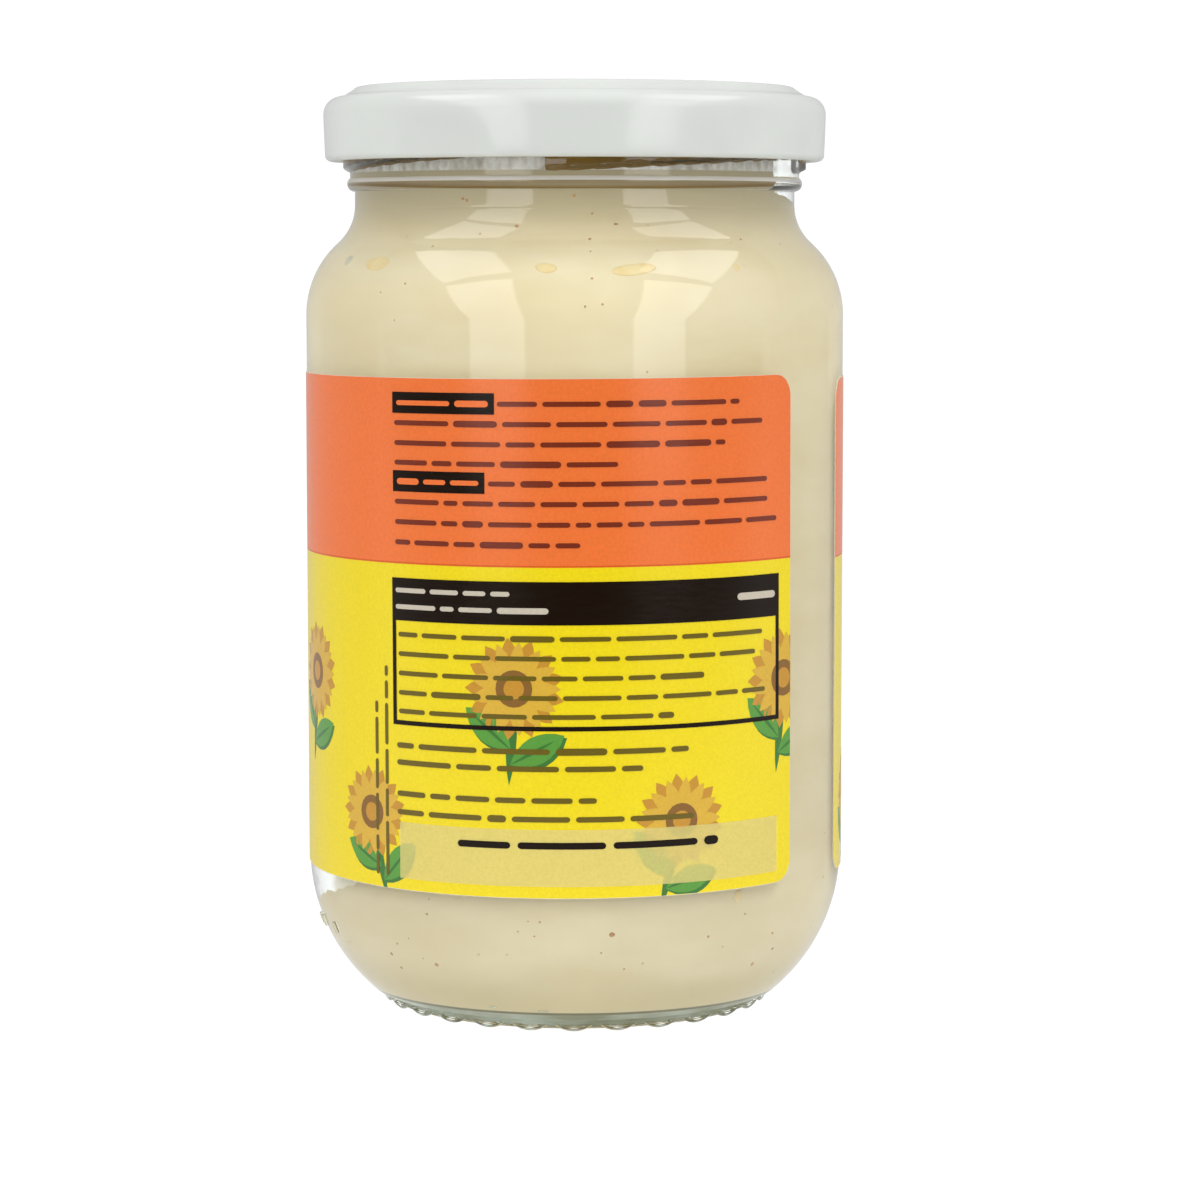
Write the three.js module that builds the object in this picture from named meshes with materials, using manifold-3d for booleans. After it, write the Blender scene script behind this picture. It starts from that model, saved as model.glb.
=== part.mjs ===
// A glass mayonnaise jar, filled and shut: the jar with its screw finish, the white lug lid,
// the mayonnaise inside and the paper label wrapped round the body.
// Millimetres, +Z up. The origin is the middle of the base, and the shown side of the jar faces -Y.
import * as THREE from "three";
import { mergeVertices } from "three/addons/utils/BufferGeometryUtils.js";
import Module from "manifold-3d";

// Jar body
const BODY_RADIUS = 37.5;
const HEEL_TOP_Z = 21; // where the round heel runs into the straight body
const HEEL_ARC = 25.3;
const FOOT_RADIUS = 27; // outside of the low ring under the heel
const FOOT_HEIGHT = 1.9;
const FOOT_ROUND = 0.7;
const FOOT_LEDGE = 0.15; // slope of the ledge between the ring and the heel
const FOOT_WIDTH = 3.2; // the flat that the jar stands on
const PUSH_UP_STEP = 1.1;
const PUSH_UP = 1.6; // how far the underside is drawn up at the middle
const SHOULDER_START_Z = 96.3;
const SHOULDER_ARC = 13.3;
const SHOULDER_SLOPE = THREE.MathUtils.degToRad(41.5); // lean of the cone between shoulder and neck
const NECK_RADIUS = 30.65;
const NECK_FILLET = 6.5;

// Neck ring, screw finish and mouth
const BEAD_Z = 114.4;
const BEAD_ARC = 1.05;
const FINISH_RADIUS = 31.3;
const RIM_Z = 126.4;
const RIM_ROUND = 1;
const MOUTH_RADIUS = 28.4;

// Inside of the jar
const WALL = 2.5;
const INNER_HEEL_ANGLE = THREE.MathUtils.degToRad(50); // turn of the inner heel before the floor
const FLOOR_EDGE_RADIUS = 25.2;
const FLOOR_EDGE_Z = 3;
const FLOOR_MIDDLE_Z = 5;

// Thread: four short right-hand ridges
const THREAD_STARTS = 4;
const THREAD_FIRST = THREE.MathUtils.degToRad(-7);
const THREAD_SWEEP = THREE.MathUtils.degToRad(84);
const THREAD_LEAD = 10; // rise in one whole turn
const THREAD_FOOT_Z = 115.7;
const THREAD_FOOT = 2.3; // height of a ridge where it meets the wall
const THREAD_CREST = 1.2;
const THREAD_RADIUS = 32.2;
const THREAD_BITE = 0.6; // how far a ridge starts inside the wall
const THREAD_TAPER = 4; // how steeply a ridge grows from its ends
const THREAD_END_RISE = 0.1; // share of the full rise that is left at the very end
const THREAD_END_HEIGHT = 0.5; // share of the full height that is left at the very end
const THREAD_STEPS = 14;

// Mayonnaise
const FILL_Z = 118.5; // just above the lower edge of the lid, which hides the level
const FILL_GAP = 0.3;

// Lid
const LID_RADIUS = 34.95;
const LID_BOTTOM_Z = 117.5;
const LID_SKIRT_TOP_Z = 124;
const LID_SHOULDER_ARC = 2.4;
const LID_SHOULDER_TURN = THREE.MathUtils.degToRad(78);
const LID_SHEET = 0.45;
const LID_DRAFT = 0.2; // the skirt narrows by this towards its curl
const CURL_ARC = 0.85;
const RING_RADIUS = 30; // crest of the raised ring on top
const RING_ARC = 1;
const RING_OUTER_TURN = THREE.MathUtils.degToRad(40);
const RING_INNER_TURN = THREE.MathUtils.degToRad(120);
const LID_TOP_Z = 127.75;
const VALLEY_RADIUS = 32.3; // foot of the ring's slope, inside the shoulder
const VALLEY_Z = 126.42;
const PANEL_RADIUS = 28.6;
const PANEL_Z = 127.3;
const BUTTON_RADIUS = 11;
const BUTTON_EDGE = 0.9;
const BUTTON_DROP = 0.25;
const SEAL_RADIUS = 31.4; // the underside is flat out to here, where it seals on the rim
const SEAL_GAP = 0.3;
const LUGS = 4;
const LUG_FIRST = THREE.MathUtils.degToRad(-29);
const LUG_HALF = THREE.MathUtils.degToRad(13);
const LUG_PRESS = 0.45; // how far the curl is pressed in at each lug
const LUG_TOP_Z = 121;

// Label
const LABEL_GAP = 0.15;
const LABEL_THICKNESS = 0.15;
const LABEL_BOTTOM_Z = 20.1;
const LABEL_TOP_Z = 88.7;
const LABEL_START = THREE.MathUtils.degToRad(73.4 - 360); // from here round the back to the end
const LABEL_END = THREE.MathUtils.degToRad(51.3);
const LABEL_CORNER = 3;
const LABEL_CORNER_STEPS = 4;
const LABEL_STEPS = 62;
const LABEL_SKEW = 0.005; // the label climbs a little to the right

// Facets
const ROUND_STEPS = 40;
const ARC_STEPS = 3; // a path puts twice as many steps in each arc

const wasm = await Module();
wasm.setup();

// A solid of revolution from an outline in (radius, height), which runs outwards, up and back to the axis.
function revolve(points) {
  return new THREE.LatheGeometry(points, ROUND_STEPS).rotateX(Math.PI / 2);
}

function toSolid(geometry) {
  const bare = geometry.clone();
  bare.deleteAttribute("normal");
  bare.deleteAttribute("uv");
  const merged = mergeVertices(bare, 1e-3);
  return new wasm.Manifold(
    new wasm.Mesh({
      numProp: 3,
      vertProperties: merged.attributes.position.array,
      triVerts: new Uint32Array(merged.index.array),
    }),
  );
}

function toGeometry(solid) {
  const mesh = solid.getMesh();
  const geometry = new THREE.BufferGeometry();
  geometry.setAttribute("position", new THREE.BufferAttribute(mesh.vertProperties, 3));
  geometry.setIndex(new THREE.BufferAttribute(mesh.triVerts, 1));
  geometry.computeVertexNormals();
  return geometry;
}

// Moves every vertex of a geometry to where place(x, y, z) puts it.
function reshape(geometry, place) {
  const position = geometry.attributes.position;
  for (let i = 0; i < position.count; i++) {
    const moved = place(position.getX(i), position.getY(i), position.getZ(i));
    position.setXYZ(i, moved.x, moved.y, moved.z);
  }
  geometry.computeVertexNormals();
  return geometry;
}

// A point at a radius, at an angle from the front (-Y) towards +X, and at a height.
function around(radius, angle, z) {
  return new THREE.Vector3(radius * Math.sin(angle), -radius * Math.cos(angle), z);
}

// The height where the fillet over the shoulder's cone runs into the straight neck.
function neckZ(shoulderArc, neckRadius, neckFillet) {
  const slant = Math.tan(SHOULDER_SLOPE);
  const shoulderEnd = new THREE.Vector2(
    BODY_RADIUS - SHOULDER_ARC + shoulderArc * Math.cos(SHOULDER_SLOPE),
    SHOULDER_START_Z + shoulderArc * Math.sin(SHOULDER_SLOPE),
  );
  const filletRadius = neckRadius + neckFillet * (1 - Math.cos(SHOULDER_SLOPE));
  return shoulderEnd.y + (shoulderEnd.x - filletRadius) / slant + neckFillet * Math.sin(SHOULDER_SLOPE);
}

// The inside of the jar from the mouth down to the middle of the floor, drawn in by inset.
function traceCavity(path, inset) {
  const shoulderArc = SHOULDER_ARC - WALL - inset;
  const neckRadius = MOUTH_RADIUS - inset;
  const neckFillet = NECK_FILLET + NECK_RADIUS - MOUTH_RADIUS + inset;
  const filletZ = neckZ(shoulderArc, neckRadius, neckFillet);
  const filletCentre = neckRadius + neckFillet;
  const shoulderCentre = BODY_RADIUS - SHOULDER_ARC;
  path.absarc(filletCentre, filletZ, neckFillet, Math.PI, Math.PI + SHOULDER_SLOPE, false);
  path.absarc(shoulderCentre, SHOULDER_START_Z, shoulderArc, SHOULDER_SLOPE, 0, true);
  path.absarc(BODY_RADIUS - HEEL_ARC, HEEL_TOP_Z, HEEL_ARC - WALL - inset, 0, -INNER_HEEL_ANGLE, true);
  path.lineTo(FLOOR_EDGE_RADIUS, FLOOR_EDGE_Z + inset);
  path.lineTo(0, FLOOR_MIDDLE_Z + inset);
}

function jarOutline() {
  const heelCentre = BODY_RADIUS - HEEL_ARC;
  const heelStart = -Math.asin((HEEL_TOP_Z - FOOT_HEIGHT) / HEEL_ARC);
  const flatEdge = FOOT_RADIUS - FOOT_ROUND;
  const beadEnd = Math.acos((FINISH_RADIUS - NECK_RADIUS) / BEAD_ARC);
  const rimCentreZ = RIM_Z - RIM_ROUND;
  const path = new THREE.Path();
  path.moveTo(0, PUSH_UP);
  path.lineTo(flatEdge - FOOT_WIDTH - 2 * PUSH_UP_STEP, PUSH_UP_STEP);
  path.lineTo(flatEdge - FOOT_WIDTH, 0);
  path.absarc(flatEdge, FOOT_ROUND, FOOT_ROUND, -Math.PI / 2, 0, false);
  path.lineTo(FOOT_RADIUS, FOOT_HEIGHT - FOOT_LEDGE);
  path.absarc(heelCentre, HEEL_TOP_Z, HEEL_ARC, heelStart, 0, false);
  path.absarc(BODY_RADIUS - SHOULDER_ARC, SHOULDER_START_Z, SHOULDER_ARC, 0, SHOULDER_SLOPE, false);
  const neckStart = neckZ(SHOULDER_ARC, NECK_RADIUS, NECK_FILLET);
  path.absarc(NECK_RADIUS + NECK_FILLET, neckStart, NECK_FILLET, Math.PI + SHOULDER_SLOPE, Math.PI, true);
  path.absarc(NECK_RADIUS, BEAD_Z, BEAD_ARC, -Math.PI / 2, beadEnd, false);
  path.absarc(FINISH_RADIUS - RIM_ROUND, rimCentreZ, RIM_ROUND, 0, Math.PI / 2, false);
  path.absarc(MOUTH_RADIUS + RIM_ROUND, rimCentreZ, RIM_ROUND, Math.PI / 2, Math.PI, false);
  traceCavity(path, 0);
  return path.getPoints(ARC_STEPS);
}

// One ridge of the thread: a box bent round the neck that climbs, with a narrow crest and tapered ends.
function threadRidge(startAngle) {
  const ridge = new THREE.BoxGeometry(1, 1, 1, THREAD_STEPS, 1, 1);
  return reshape(ridge, (x, y, z) => {
    const along = x + 0.5;
    const isCrest = z > 0;
    const taper = Math.min(1, Math.sin(Math.PI * along) * THREAD_TAPER);
    const rise = (THREAD_RADIUS - FINISH_RADIUS) * THREE.MathUtils.lerp(THREAD_END_RISE, 1, taper);
    const radius = FINISH_RADIUS + (isCrest ? rise : -THREAD_BITE);
    const height = (isCrest ? THREAD_CREST : THREAD_FOOT) * THREE.MathUtils.lerp(THREAD_END_HEIGHT, 1, taper);
    const middle = THREAD_FOOT_Z + THREAD_FOOT / 2 + (THREAD_LEAD * along * THREAD_SWEEP) / (2 * Math.PI);
    return around(radius, startAngle + along * THREAD_SWEEP, middle + y * height);
  });
}

function glassJar() {
  let jar = toSolid(revolve(jarOutline()));
  for (let i = 0; i < THREAD_STARTS; i++) {
    const startAngle = THREAD_FIRST + (i * 2 * Math.PI) / THREAD_STARTS;
    jar = jar.add(toSolid(threadRidge(startAngle)));
  }
  return toGeometry(jar);
}

function mayonnaise() {
  const path = new THREE.Path();
  path.moveTo(0, FILL_Z);
  path.lineTo(MOUTH_RADIUS - FILL_GAP, FILL_Z);
  traceCavity(path, FILL_GAP);
  return revolve(path.getPoints(ARC_STEPS).reverse());
}

// From the middle of the underside out to the curl, up the skirt and over the ring to the middle of the top.
function lidOutline() {
  const shoulderCentre = LID_RADIUS - LID_SHOULDER_ARC;
  const innerShoulder = LID_SHOULDER_ARC - LID_SHEET;
  const undersideZ = RIM_Z + SEAL_GAP;
  const curlRadius = LID_RADIUS - LID_DRAFT - CURL_ARC;
  const curlZ = LID_BOTTOM_Z + CURL_ARC;
  const ringZ = LID_TOP_Z - RING_ARC;
  const path = new THREE.Path();
  path.moveTo(0, undersideZ - BUTTON_DROP);
  path.lineTo(BUTTON_RADIUS - BUTTON_EDGE, undersideZ - BUTTON_DROP);
  path.lineTo(BUTTON_RADIUS, undersideZ);
  path.lineTo(SEAL_RADIUS, undersideZ);
  path.absarc(shoulderCentre, LID_SKIRT_TOP_Z, innerShoulder, LID_SHOULDER_TURN, 0, true);
  path.absarc(curlRadius, curlZ, CURL_ARC, Math.PI / 2, 2 * Math.PI, false);
  path.absarc(shoulderCentre, LID_SKIRT_TOP_Z, LID_SHOULDER_ARC, 0, LID_SHOULDER_TURN, false);
  path.lineTo(VALLEY_RADIUS, VALLEY_Z);
  path.absarc(RING_RADIUS, ringZ, RING_ARC, RING_OUTER_TURN, RING_INNER_TURN, false);
  path.lineTo(PANEL_RADIUS, PANEL_Z);
  path.lineTo(BUTTON_RADIUS, PANEL_Z);
  path.lineTo(BUTTON_RADIUS - BUTTON_EDGE, PANEL_Z - BUTTON_DROP);
  path.lineTo(0, PANEL_Z - BUTTON_DROP);
  return path.getPoints(ARC_STEPS);
}

// How far the lug at this angle and height is pressed in, from 0 to LUG_PRESS.
function lugPress(angle, z) {
  const spacing = (2 * Math.PI) / LUGS;
  const off = THREE.MathUtils.euclideanModulo(angle - LUG_FIRST + spacing / 2, spacing) - spacing / 2;
  const across = 1 - THREE.MathUtils.smoothstep(Math.abs(off), LUG_HALF / 2, LUG_HALF);
  const down = 1 - THREE.MathUtils.smoothstep(z, LID_BOTTOM_Z + CURL_ARC, LUG_TOP_Z);
  return LUG_PRESS * across * down;
}

function lid() {
  return reshape(revolve(lidOutline()), (x, y, z) => {
    const angle = Math.atan2(x, -y);
    return around(Math.hypot(x, y) - lugPress(angle, z), angle, z);
  });
}

// How far along the label a step lies: the corners take a few steps of their own, the rest are even.
function labelAlong(step) {
  const length = (LABEL_END - LABEL_START) * BODY_RADIUS;
  const fromEnd = Math.min(step, LABEL_STEPS - step);
  if (fromEnd <= LABEL_CORNER_STEPS) {
    const turn = ((fromEnd / LABEL_CORNER_STEPS) * Math.PI) / 2;
    const inwards = LABEL_CORNER * (1 - Math.cos(turn));
    return step === fromEnd ? inwards : length - inwards;
  }
  const share = (step - LABEL_CORNER_STEPS) / (LABEL_STEPS - 2 * LABEL_CORNER_STEPS);
  return LABEL_CORNER + share * (length - 2 * LABEL_CORNER);
}

// A flat strip with rounded corners, wrapped round the body.
function label() {
  const length = (LABEL_END - LABEL_START) * BODY_RADIUS;
  const strip = new THREE.BoxGeometry(1, 1, 1, LABEL_STEPS, 1, 1);
  return reshape(strip, (x, y, z) => {
    const along = labelAlong(Math.round((x + 0.5) * LABEL_STEPS));
    const intoCorner = Math.max(0, LABEL_CORNER - Math.min(along, length - along));
    const trim = LABEL_CORNER - Math.sqrt(LABEL_CORNER ** 2 - intoCorner ** 2);
    const angle = LABEL_START + along / BODY_RADIUS;
    const edgeZ = y > 0 ? LABEL_TOP_Z - trim : LABEL_BOTTOM_Z + trim;
    const radius = BODY_RADIUS + LABEL_GAP + (z + 0.5) * LABEL_THICKNESS;
    return around(radius, angle, edgeZ + LABEL_SKEW * BODY_RADIUS * angle);
  });
}

const part = new THREE.Group();

function addPiece(name, geometry, look) {
  const mesh = new THREE.Mesh(geometry, new THREE.MeshStandardMaterial(look));
  mesh.name = name;
  part.add(mesh);
}

addPiece("glass_jar", glassJar(), {
  color: 0xe4ece6,
  roughness: 0.05,
  metalness: 0,
  transparent: true,
  opacity: 0.35,
});
addPiece("mayonnaise", mayonnaise(), { color: 0xe6dab4, roughness: 0.4, metalness: 0 });
addPiece("lid", lid(), { color: 0xe3e6e3, roughness: 0.25, metalness: 0 });
addPiece("label", label(), { color: 0xf5dc3a, roughness: 0.45, metalness: 0 });

export default part;
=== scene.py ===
"""A filled and shut glass jar of mayonnaise: glass, contents, lug lid and wrap-round paper label.

Sizes are in millimetres unless a name says otherwise, and become metres when a mesh is made. Angles round
the jar are in degrees from the front (-Y) towards the right (+X).
"""

import logging
import math
import random
from collections.abc import Callable, Iterator
from contextlib import contextmanager
from dataclasses import dataclass, field
from enum import Enum

import bpy
from mathutils import Matrix, Vector


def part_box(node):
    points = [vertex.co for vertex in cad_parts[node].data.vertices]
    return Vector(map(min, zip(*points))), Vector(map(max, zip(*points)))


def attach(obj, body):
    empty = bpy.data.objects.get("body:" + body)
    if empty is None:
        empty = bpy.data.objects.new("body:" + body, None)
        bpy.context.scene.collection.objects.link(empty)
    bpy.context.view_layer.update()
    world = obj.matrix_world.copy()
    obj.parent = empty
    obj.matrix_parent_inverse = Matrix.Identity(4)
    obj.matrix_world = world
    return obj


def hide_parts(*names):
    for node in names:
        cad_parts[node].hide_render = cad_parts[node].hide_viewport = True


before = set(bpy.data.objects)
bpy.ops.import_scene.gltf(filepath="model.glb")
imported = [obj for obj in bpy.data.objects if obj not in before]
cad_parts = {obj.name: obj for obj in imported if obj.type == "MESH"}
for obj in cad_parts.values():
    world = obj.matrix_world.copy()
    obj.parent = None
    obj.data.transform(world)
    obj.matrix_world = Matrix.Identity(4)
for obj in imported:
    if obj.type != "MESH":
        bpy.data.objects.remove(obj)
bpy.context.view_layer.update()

LOG = logging.getLogger("mayonnaise_jar")
MM = 0.001
BODY = "root"

Point = tuple[float, float]
Colour = tuple[float, float, float, float]


def srgb(red: int, green: int, blue: int) -> Colour:
    """Turns a screen colour of 0 to 255 into the linear colour that a shader takes.

    Args:
        red, green, blue: the screen values.

    Returns:
        The linear colour, opaque.
    """
    def linear(value: int) -> float:
        """Undoes the screen's curve for one value."""
        share = value / 255
        return share / 12.92 if share <= 0.04045 else ((share + 0.055) / 1.055) ** 2.4

    return linear(red), linear(green), linear(blue), 1.0


def smoothstep(value: float, low: float, high: float) -> float:
    """Rises smoothly from 0 at low to 1 at high."""
    share = min(1.0, max(0.0, (value - low) / (high - low)))
    return share * share * (3 - 2 * share)


def around(radius: float, angle: float, height: float) -> Vector:
    """Gives the point at a radius, an angle round the jar and a height, in metres."""
    turn = math.radians(angle)
    return Vector((radius * math.sin(turn), -radius * math.cos(turn), height)) * MM


def angle_of(point: Vector) -> float:
    """Gives a point's angle round the jar, in degrees."""
    return math.degrees(math.atan2(point.x, -point.y))


# Modelling helpers


def select_only(*pieces: bpy.types.Object) -> None:
    """Selects these pieces alone and makes the first one active.

    Args:
        pieces: the pieces, the active one first.
    """
    bpy.ops.object.select_all(action="DESELECT")
    for piece in pieces:
        piece.select_set(True)
    bpy.context.view_layer.objects.active = pieces[0]


@contextmanager
def editing(piece: bpy.types.Object) -> Iterator[None]:
    """Opens a piece's mesh with all of it selected, and shuts it afterwards.

    Args:
        piece: the piece.

    Yields:
        Nothing, while the mesh is open.
    """
    select_only(piece)
    bpy.ops.object.mode_set(mode="EDIT")
    bpy.ops.mesh.select_all(action="SELECT")
    yield
    bpy.ops.object.mode_set(mode="OBJECT")


def apply_place(piece: bpy.types.Object) -> None:
    """Moves a piece's place, turn and scale into its mesh."""
    select_only(piece)
    bpy.ops.object.transform_apply(location=True, rotation=True, scale=True)


def apply_modifier(piece: bpy.types.Object, kind: str, **settings: object) -> None:
    """Adds one modifier with these settings and applies it.

    Args:
        piece: the piece to change.
        kind: the modifier's type.
        settings: the modifier's properties.
    """
    modifier = piece.modifiers.new(kind.lower(), kind)
    for name, value in settings.items():
        setattr(modifier, name, value)
    select_only(piece)
    bpy.ops.object.modifier_apply(modifier=modifier.name)


def join(pieces: list[bpy.types.Object]) -> bpy.types.Object:
    """Joins pieces into the first one.

    Args:
        pieces: the pieces, first the one that stays.

    Returns:
        The first piece, with the others in it.
    """
    select_only(*pieces)
    bpy.ops.object.join()
    return pieces[0]


def smooth(piece: bpy.types.Object, angle: float) -> None:
    """Shades a piece smooth, apart from edges sharper than an angle in degrees."""
    select_only(piece)
    bpy.ops.object.shade_smooth_by_angle(angle=math.radians(angle))


def dress(piece: bpy.types.Object, material: bpy.types.Material) -> None:
    """Gives a piece one material."""
    piece.data.materials.clear()
    piece.data.materials.append(material)


def settle(piece: bpy.types.Object, node: str | None = None) -> None:
    """Rides a finished piece on the jar, hides the CAD node that it stands for, and logs its face count.

    Args:
        piece: the finished piece.
        node: the CAD node that the piece replaces, if it replaces one.
    """
    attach(piece, BODY)
    if node:
        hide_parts(node)
    LOG.info("%s: %d faces", piece.name, len(piece.data.polygons))


@dataclass
class Outline:
    """Half section of a turned piece, as points of radius and height."""

    points: list[Point] = field(default_factory=list)

    def to(self, radius: float, height: float) -> "Outline":
        """Draws a straight line to a point.

        Args:
            radius, height: the point.

        Returns:
            The outline.
        """
        last = self.points[-1] if self.points else None
        if last is None or math.dist(last, (radius, height)) > 1e-3:
            self.points.append((radius, height))
        return self

    def climb(self, height: float, pitch: float) -> "Outline":
        """Goes straight up or down to a height in even steps.

        Args:
            height: where the stretch ends.
            pitch: about how long a step is.

        Returns:
            The outline.
        """
        radius, start = self.points[-1]
        count = max(1, round(abs(height - start) / pitch))
        for step in range(1, count + 1):
            self.to(radius, start + (height - start) * step / count)
        return self

    def arc(self, centre: Point, radius: float, start: float, end: float, step: float = 4.0) -> "Outline":
        """Draws an arc, joined to what comes before by a straight line.

        Args:
            centre: its centre's radius and height.
            radius: its own radius.
            start, end: the angles it runs between, in degrees from outwards towards up.
            step: about how many degrees a facet takes.

        Returns:
            The outline.
        """
        count = max(2, math.ceil(abs(end - start) / step))
        for i in range(count + 1):
            angle = math.radians(start + (end - start) * i / count)
            self.to(centre[0] + radius * math.cos(angle), centre[1] + radius * math.sin(angle))
        return self


def turn(name: str, outline: Outline, steps: int) -> bpy.types.Object:
    """Spins a half section round the jar's axis into a closed piece.

    Args:
        name: the piece's name.
        outline: its half section, from the axis back to the axis.
        steps: how many facets go round.

    Returns:
        The new piece.
    """
    bpy.ops.object.select_all(action="DESELECT")
    places = [Vector((0, -radius, height)) * MM for radius, height in outline.points]
    bpy.ops.mesh.primitive_plane_add(size=MM, location=places[0])
    piece = bpy.context.object
    piece.name = piece.data.name = name
    apply_place(piece)
    with editing(piece):
        bpy.ops.mesh.select_mode(type="VERT")
        bpy.ops.mesh.merge(type="CENTER")
        for here, there in zip(places, places[1:]):
            bpy.ops.mesh.extrude_vertices_move(TRANSFORM_OT_translate={"value": there - here})
        bpy.ops.mesh.select_all(action="SELECT")
        bpy.ops.mesh.spin(steps=steps, angle=2 * math.pi, center=(0, 0, 0), axis=(0, 0, 1))
        bpy.ops.mesh.select_all(action="SELECT")
        bpy.ops.mesh.remove_doubles(threshold=1e-6)
        bpy.ops.mesh.normals_make_consistent(inside=False)
    return piece


def swell(piece: bpy.types.Object, rise: float, weight: Callable[[Vector], float]) -> None:
    """Raises a piece's surface where a weight says so.

    Args:
        piece: the piece to change.
        rise: how far the surface moves out where the weight is 1.
        weight: gives each point's share of the rise.
    """
    group = piece.vertex_groups.new(name="swell")
    for vertex in piece.data.vertices:
        share = weight(vertex.co)
        if share > 0:
            group.add([vertex.index], share, "REPLACE")
    apply_modifier(piece, "DISPLACE", strength=rise * MM, mid_level=0.0, vertex_group=group.name)
    piece.vertex_groups.clear()


def press_in(piece: bpy.types.Object, push: Vector, reach: float, chosen: Callable[[Vector], bool]) -> None:
    """Pushes part of a piece, with a soft fall-off round it.

    Args:
        piece: the piece to change.
        push: how far and which way it moves, in metres.
        reach: how far the fall-off goes.
        chosen: says which points move the whole way.
    """
    select_only(piece)
    bpy.ops.object.mode_set(mode="EDIT")
    bpy.ops.mesh.select_mode(type="VERT")
    bpy.ops.mesh.select_all(action="DESELECT")
    bpy.ops.object.mode_set(mode="OBJECT")
    for vertex in piece.data.vertices:
        vertex.select = chosen(vertex.co)
    bpy.ops.object.mode_set(mode="EDIT")
    bpy.ops.transform.translate(
        value=push,
        use_proportional_edit=True,
        proportional_edit_falloff="SMOOTH",
        proportional_size=reach * MM,
    )
    bpy.ops.object.mode_set(mode="OBJECT")


def copies_round(piece: bpy.types.Object, angles: list[float]) -> bpy.types.Object:
    """Copies a piece to these angles round the jar's axis and joins the copies.

    Args:
        piece: the piece at the front, which is used up.
        angles: where each copy goes.

    Returns:
        The joined copies.
    """
    made = []
    for angle in angles:
        copy = piece.copy()
        copy.data = piece.data.copy()
        bpy.context.collection.objects.link(copy)
        copy.rotation_euler.z = math.radians(angle)
        apply_place(copy)
        made.append(copy)
    bpy.data.objects.remove(piece)
    return join(made)


def fuse(piece: bpy.types.Object, added: bpy.types.Object) -> None:
    """Joins another closed shape into a piece as one skin, and removes it."""
    apply_modifier(piece, "BOOLEAN", operation="UNION", solver="EXACT", object=added)
    bpy.data.objects.remove(added)


# Shader helpers


class Surface:
    """A material in the making, with its Principled shader."""

    def __init__(self, name: str) -> None:
        """Starts a material of this name.

        Args:
            name: the material's name.
        """
        self.material = bpy.data.materials.new(name)
        self.material.use_nodes = True
        self.tree = self.material.node_tree
        self.shader = self.tree.nodes["Principled BSDF"]
        self.output = self.tree.nodes["Material Output"]

    def add(self, kind: str, **values: object) -> bpy.types.Node:
        """Adds a node and sets its inputs.

        Args:
            kind: the node's type.
            values: input values, with an underscore for each blank in a name.

        Returns:
            The node.
        """
        node = self.tree.nodes.new(kind)
        for name, value in values.items():
            node.inputs[name.replace("_", " ")].default_value = value
        return node

    def effect(self, group: bpy.types.NodeTree, **values: object) -> bpy.types.Node:
        """Places a shared effect with its own values.

        Args:
            group: the effect.
            values: its input values, with an underscore for each blank in a name.

        Returns:
            The effect's node.
        """
        node = self.tree.nodes.new("ShaderNodeGroup")
        node.node_tree = group
        for name, value in values.items():
            node.inputs[name.replace("_", " ")].default_value = value
        return node

    def link(self, source: bpy.types.NodeSocket, target: bpy.types.NodeSocket) -> None:
        """Joins one socket to another."""
        self.tree.links.new(source, target)

    def set(self, **values: object) -> None:
        """Sets plain values on the shader's own sockets."""
        for name, value in values.items():
            self.shader.inputs[name.replace("_", " ")].default_value = value

    def blend(self, share: bpy.types.NodeSocket, low: object, high: object) -> bpy.types.NodeSocket:
        """Mixes two colours, each a plain colour or a socket.

        Args:
            share: how much of the second colour shows.
            low, high: the two colours.

        Returns:
            The mixed colour's socket.
        """
        mix = self.tree.nodes.new("ShaderNodeMix")
        mix.data_type = "RGBA"
        self.link(share, mix.inputs[0])
        for socket, colour in ((mix.inputs[6], low), (mix.inputs[7], high)):
            if isinstance(colour, bpy.types.NodeSocket):
                self.link(colour, socket)
            else:
                socket.default_value = colour
        return mix.outputs[2]

    def span(self, source: bpy.types.NodeSocket, low: float, high: float) -> bpy.types.NodeSocket:
        """Maps a value of 0 to 1 to a span.

        Args:
            source: the value.
            low, high: the span's ends.

        Returns:
            The new value's socket.
        """
        node = self.add("ShaderNodeMapRange", To_Min=low, To_Max=high)
        self.link(source, node.inputs["Value"])
        return node.outputs["Result"]

    def height_share(self, start: float, end: float) -> bpy.types.NodeSocket:
        """Gives a value that goes smoothly from 0 at one height to 1 at another.

        Args:
            start, end: the two heights.

        Returns:
            The value's socket.
        """
        place = self.add("ShaderNodeTexCoord")
        axes = self.add("ShaderNodeSeparateXYZ")
        node = self.add("ShaderNodeMapRange", From_Min=start * MM, From_Max=end * MM)
        node.interpolation_type = "SMOOTHSTEP"
        self.link(place.outputs["Object"], axes.inputs["Vector"])
        self.link(axes.outputs["Z"], node.inputs["Value"])
        return node.outputs["Result"]

    def bump(self, height: bpy.types.NodeSocket, distance: float, strength: float = 1.0) -> None:
        """Bumps the shader's normal by a height.

        Args:
            height: the height, from 0 to 1.
            distance: how far the full height stands up.
            strength: how much of it shows.
        """
        node = self.add("ShaderNodeBump", Distance=distance * MM, Strength=strength)
        self.link(height, node.inputs["Height"])
        self.link(node.outputs["Normal"], self.shader.inputs["Normal"])


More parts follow.
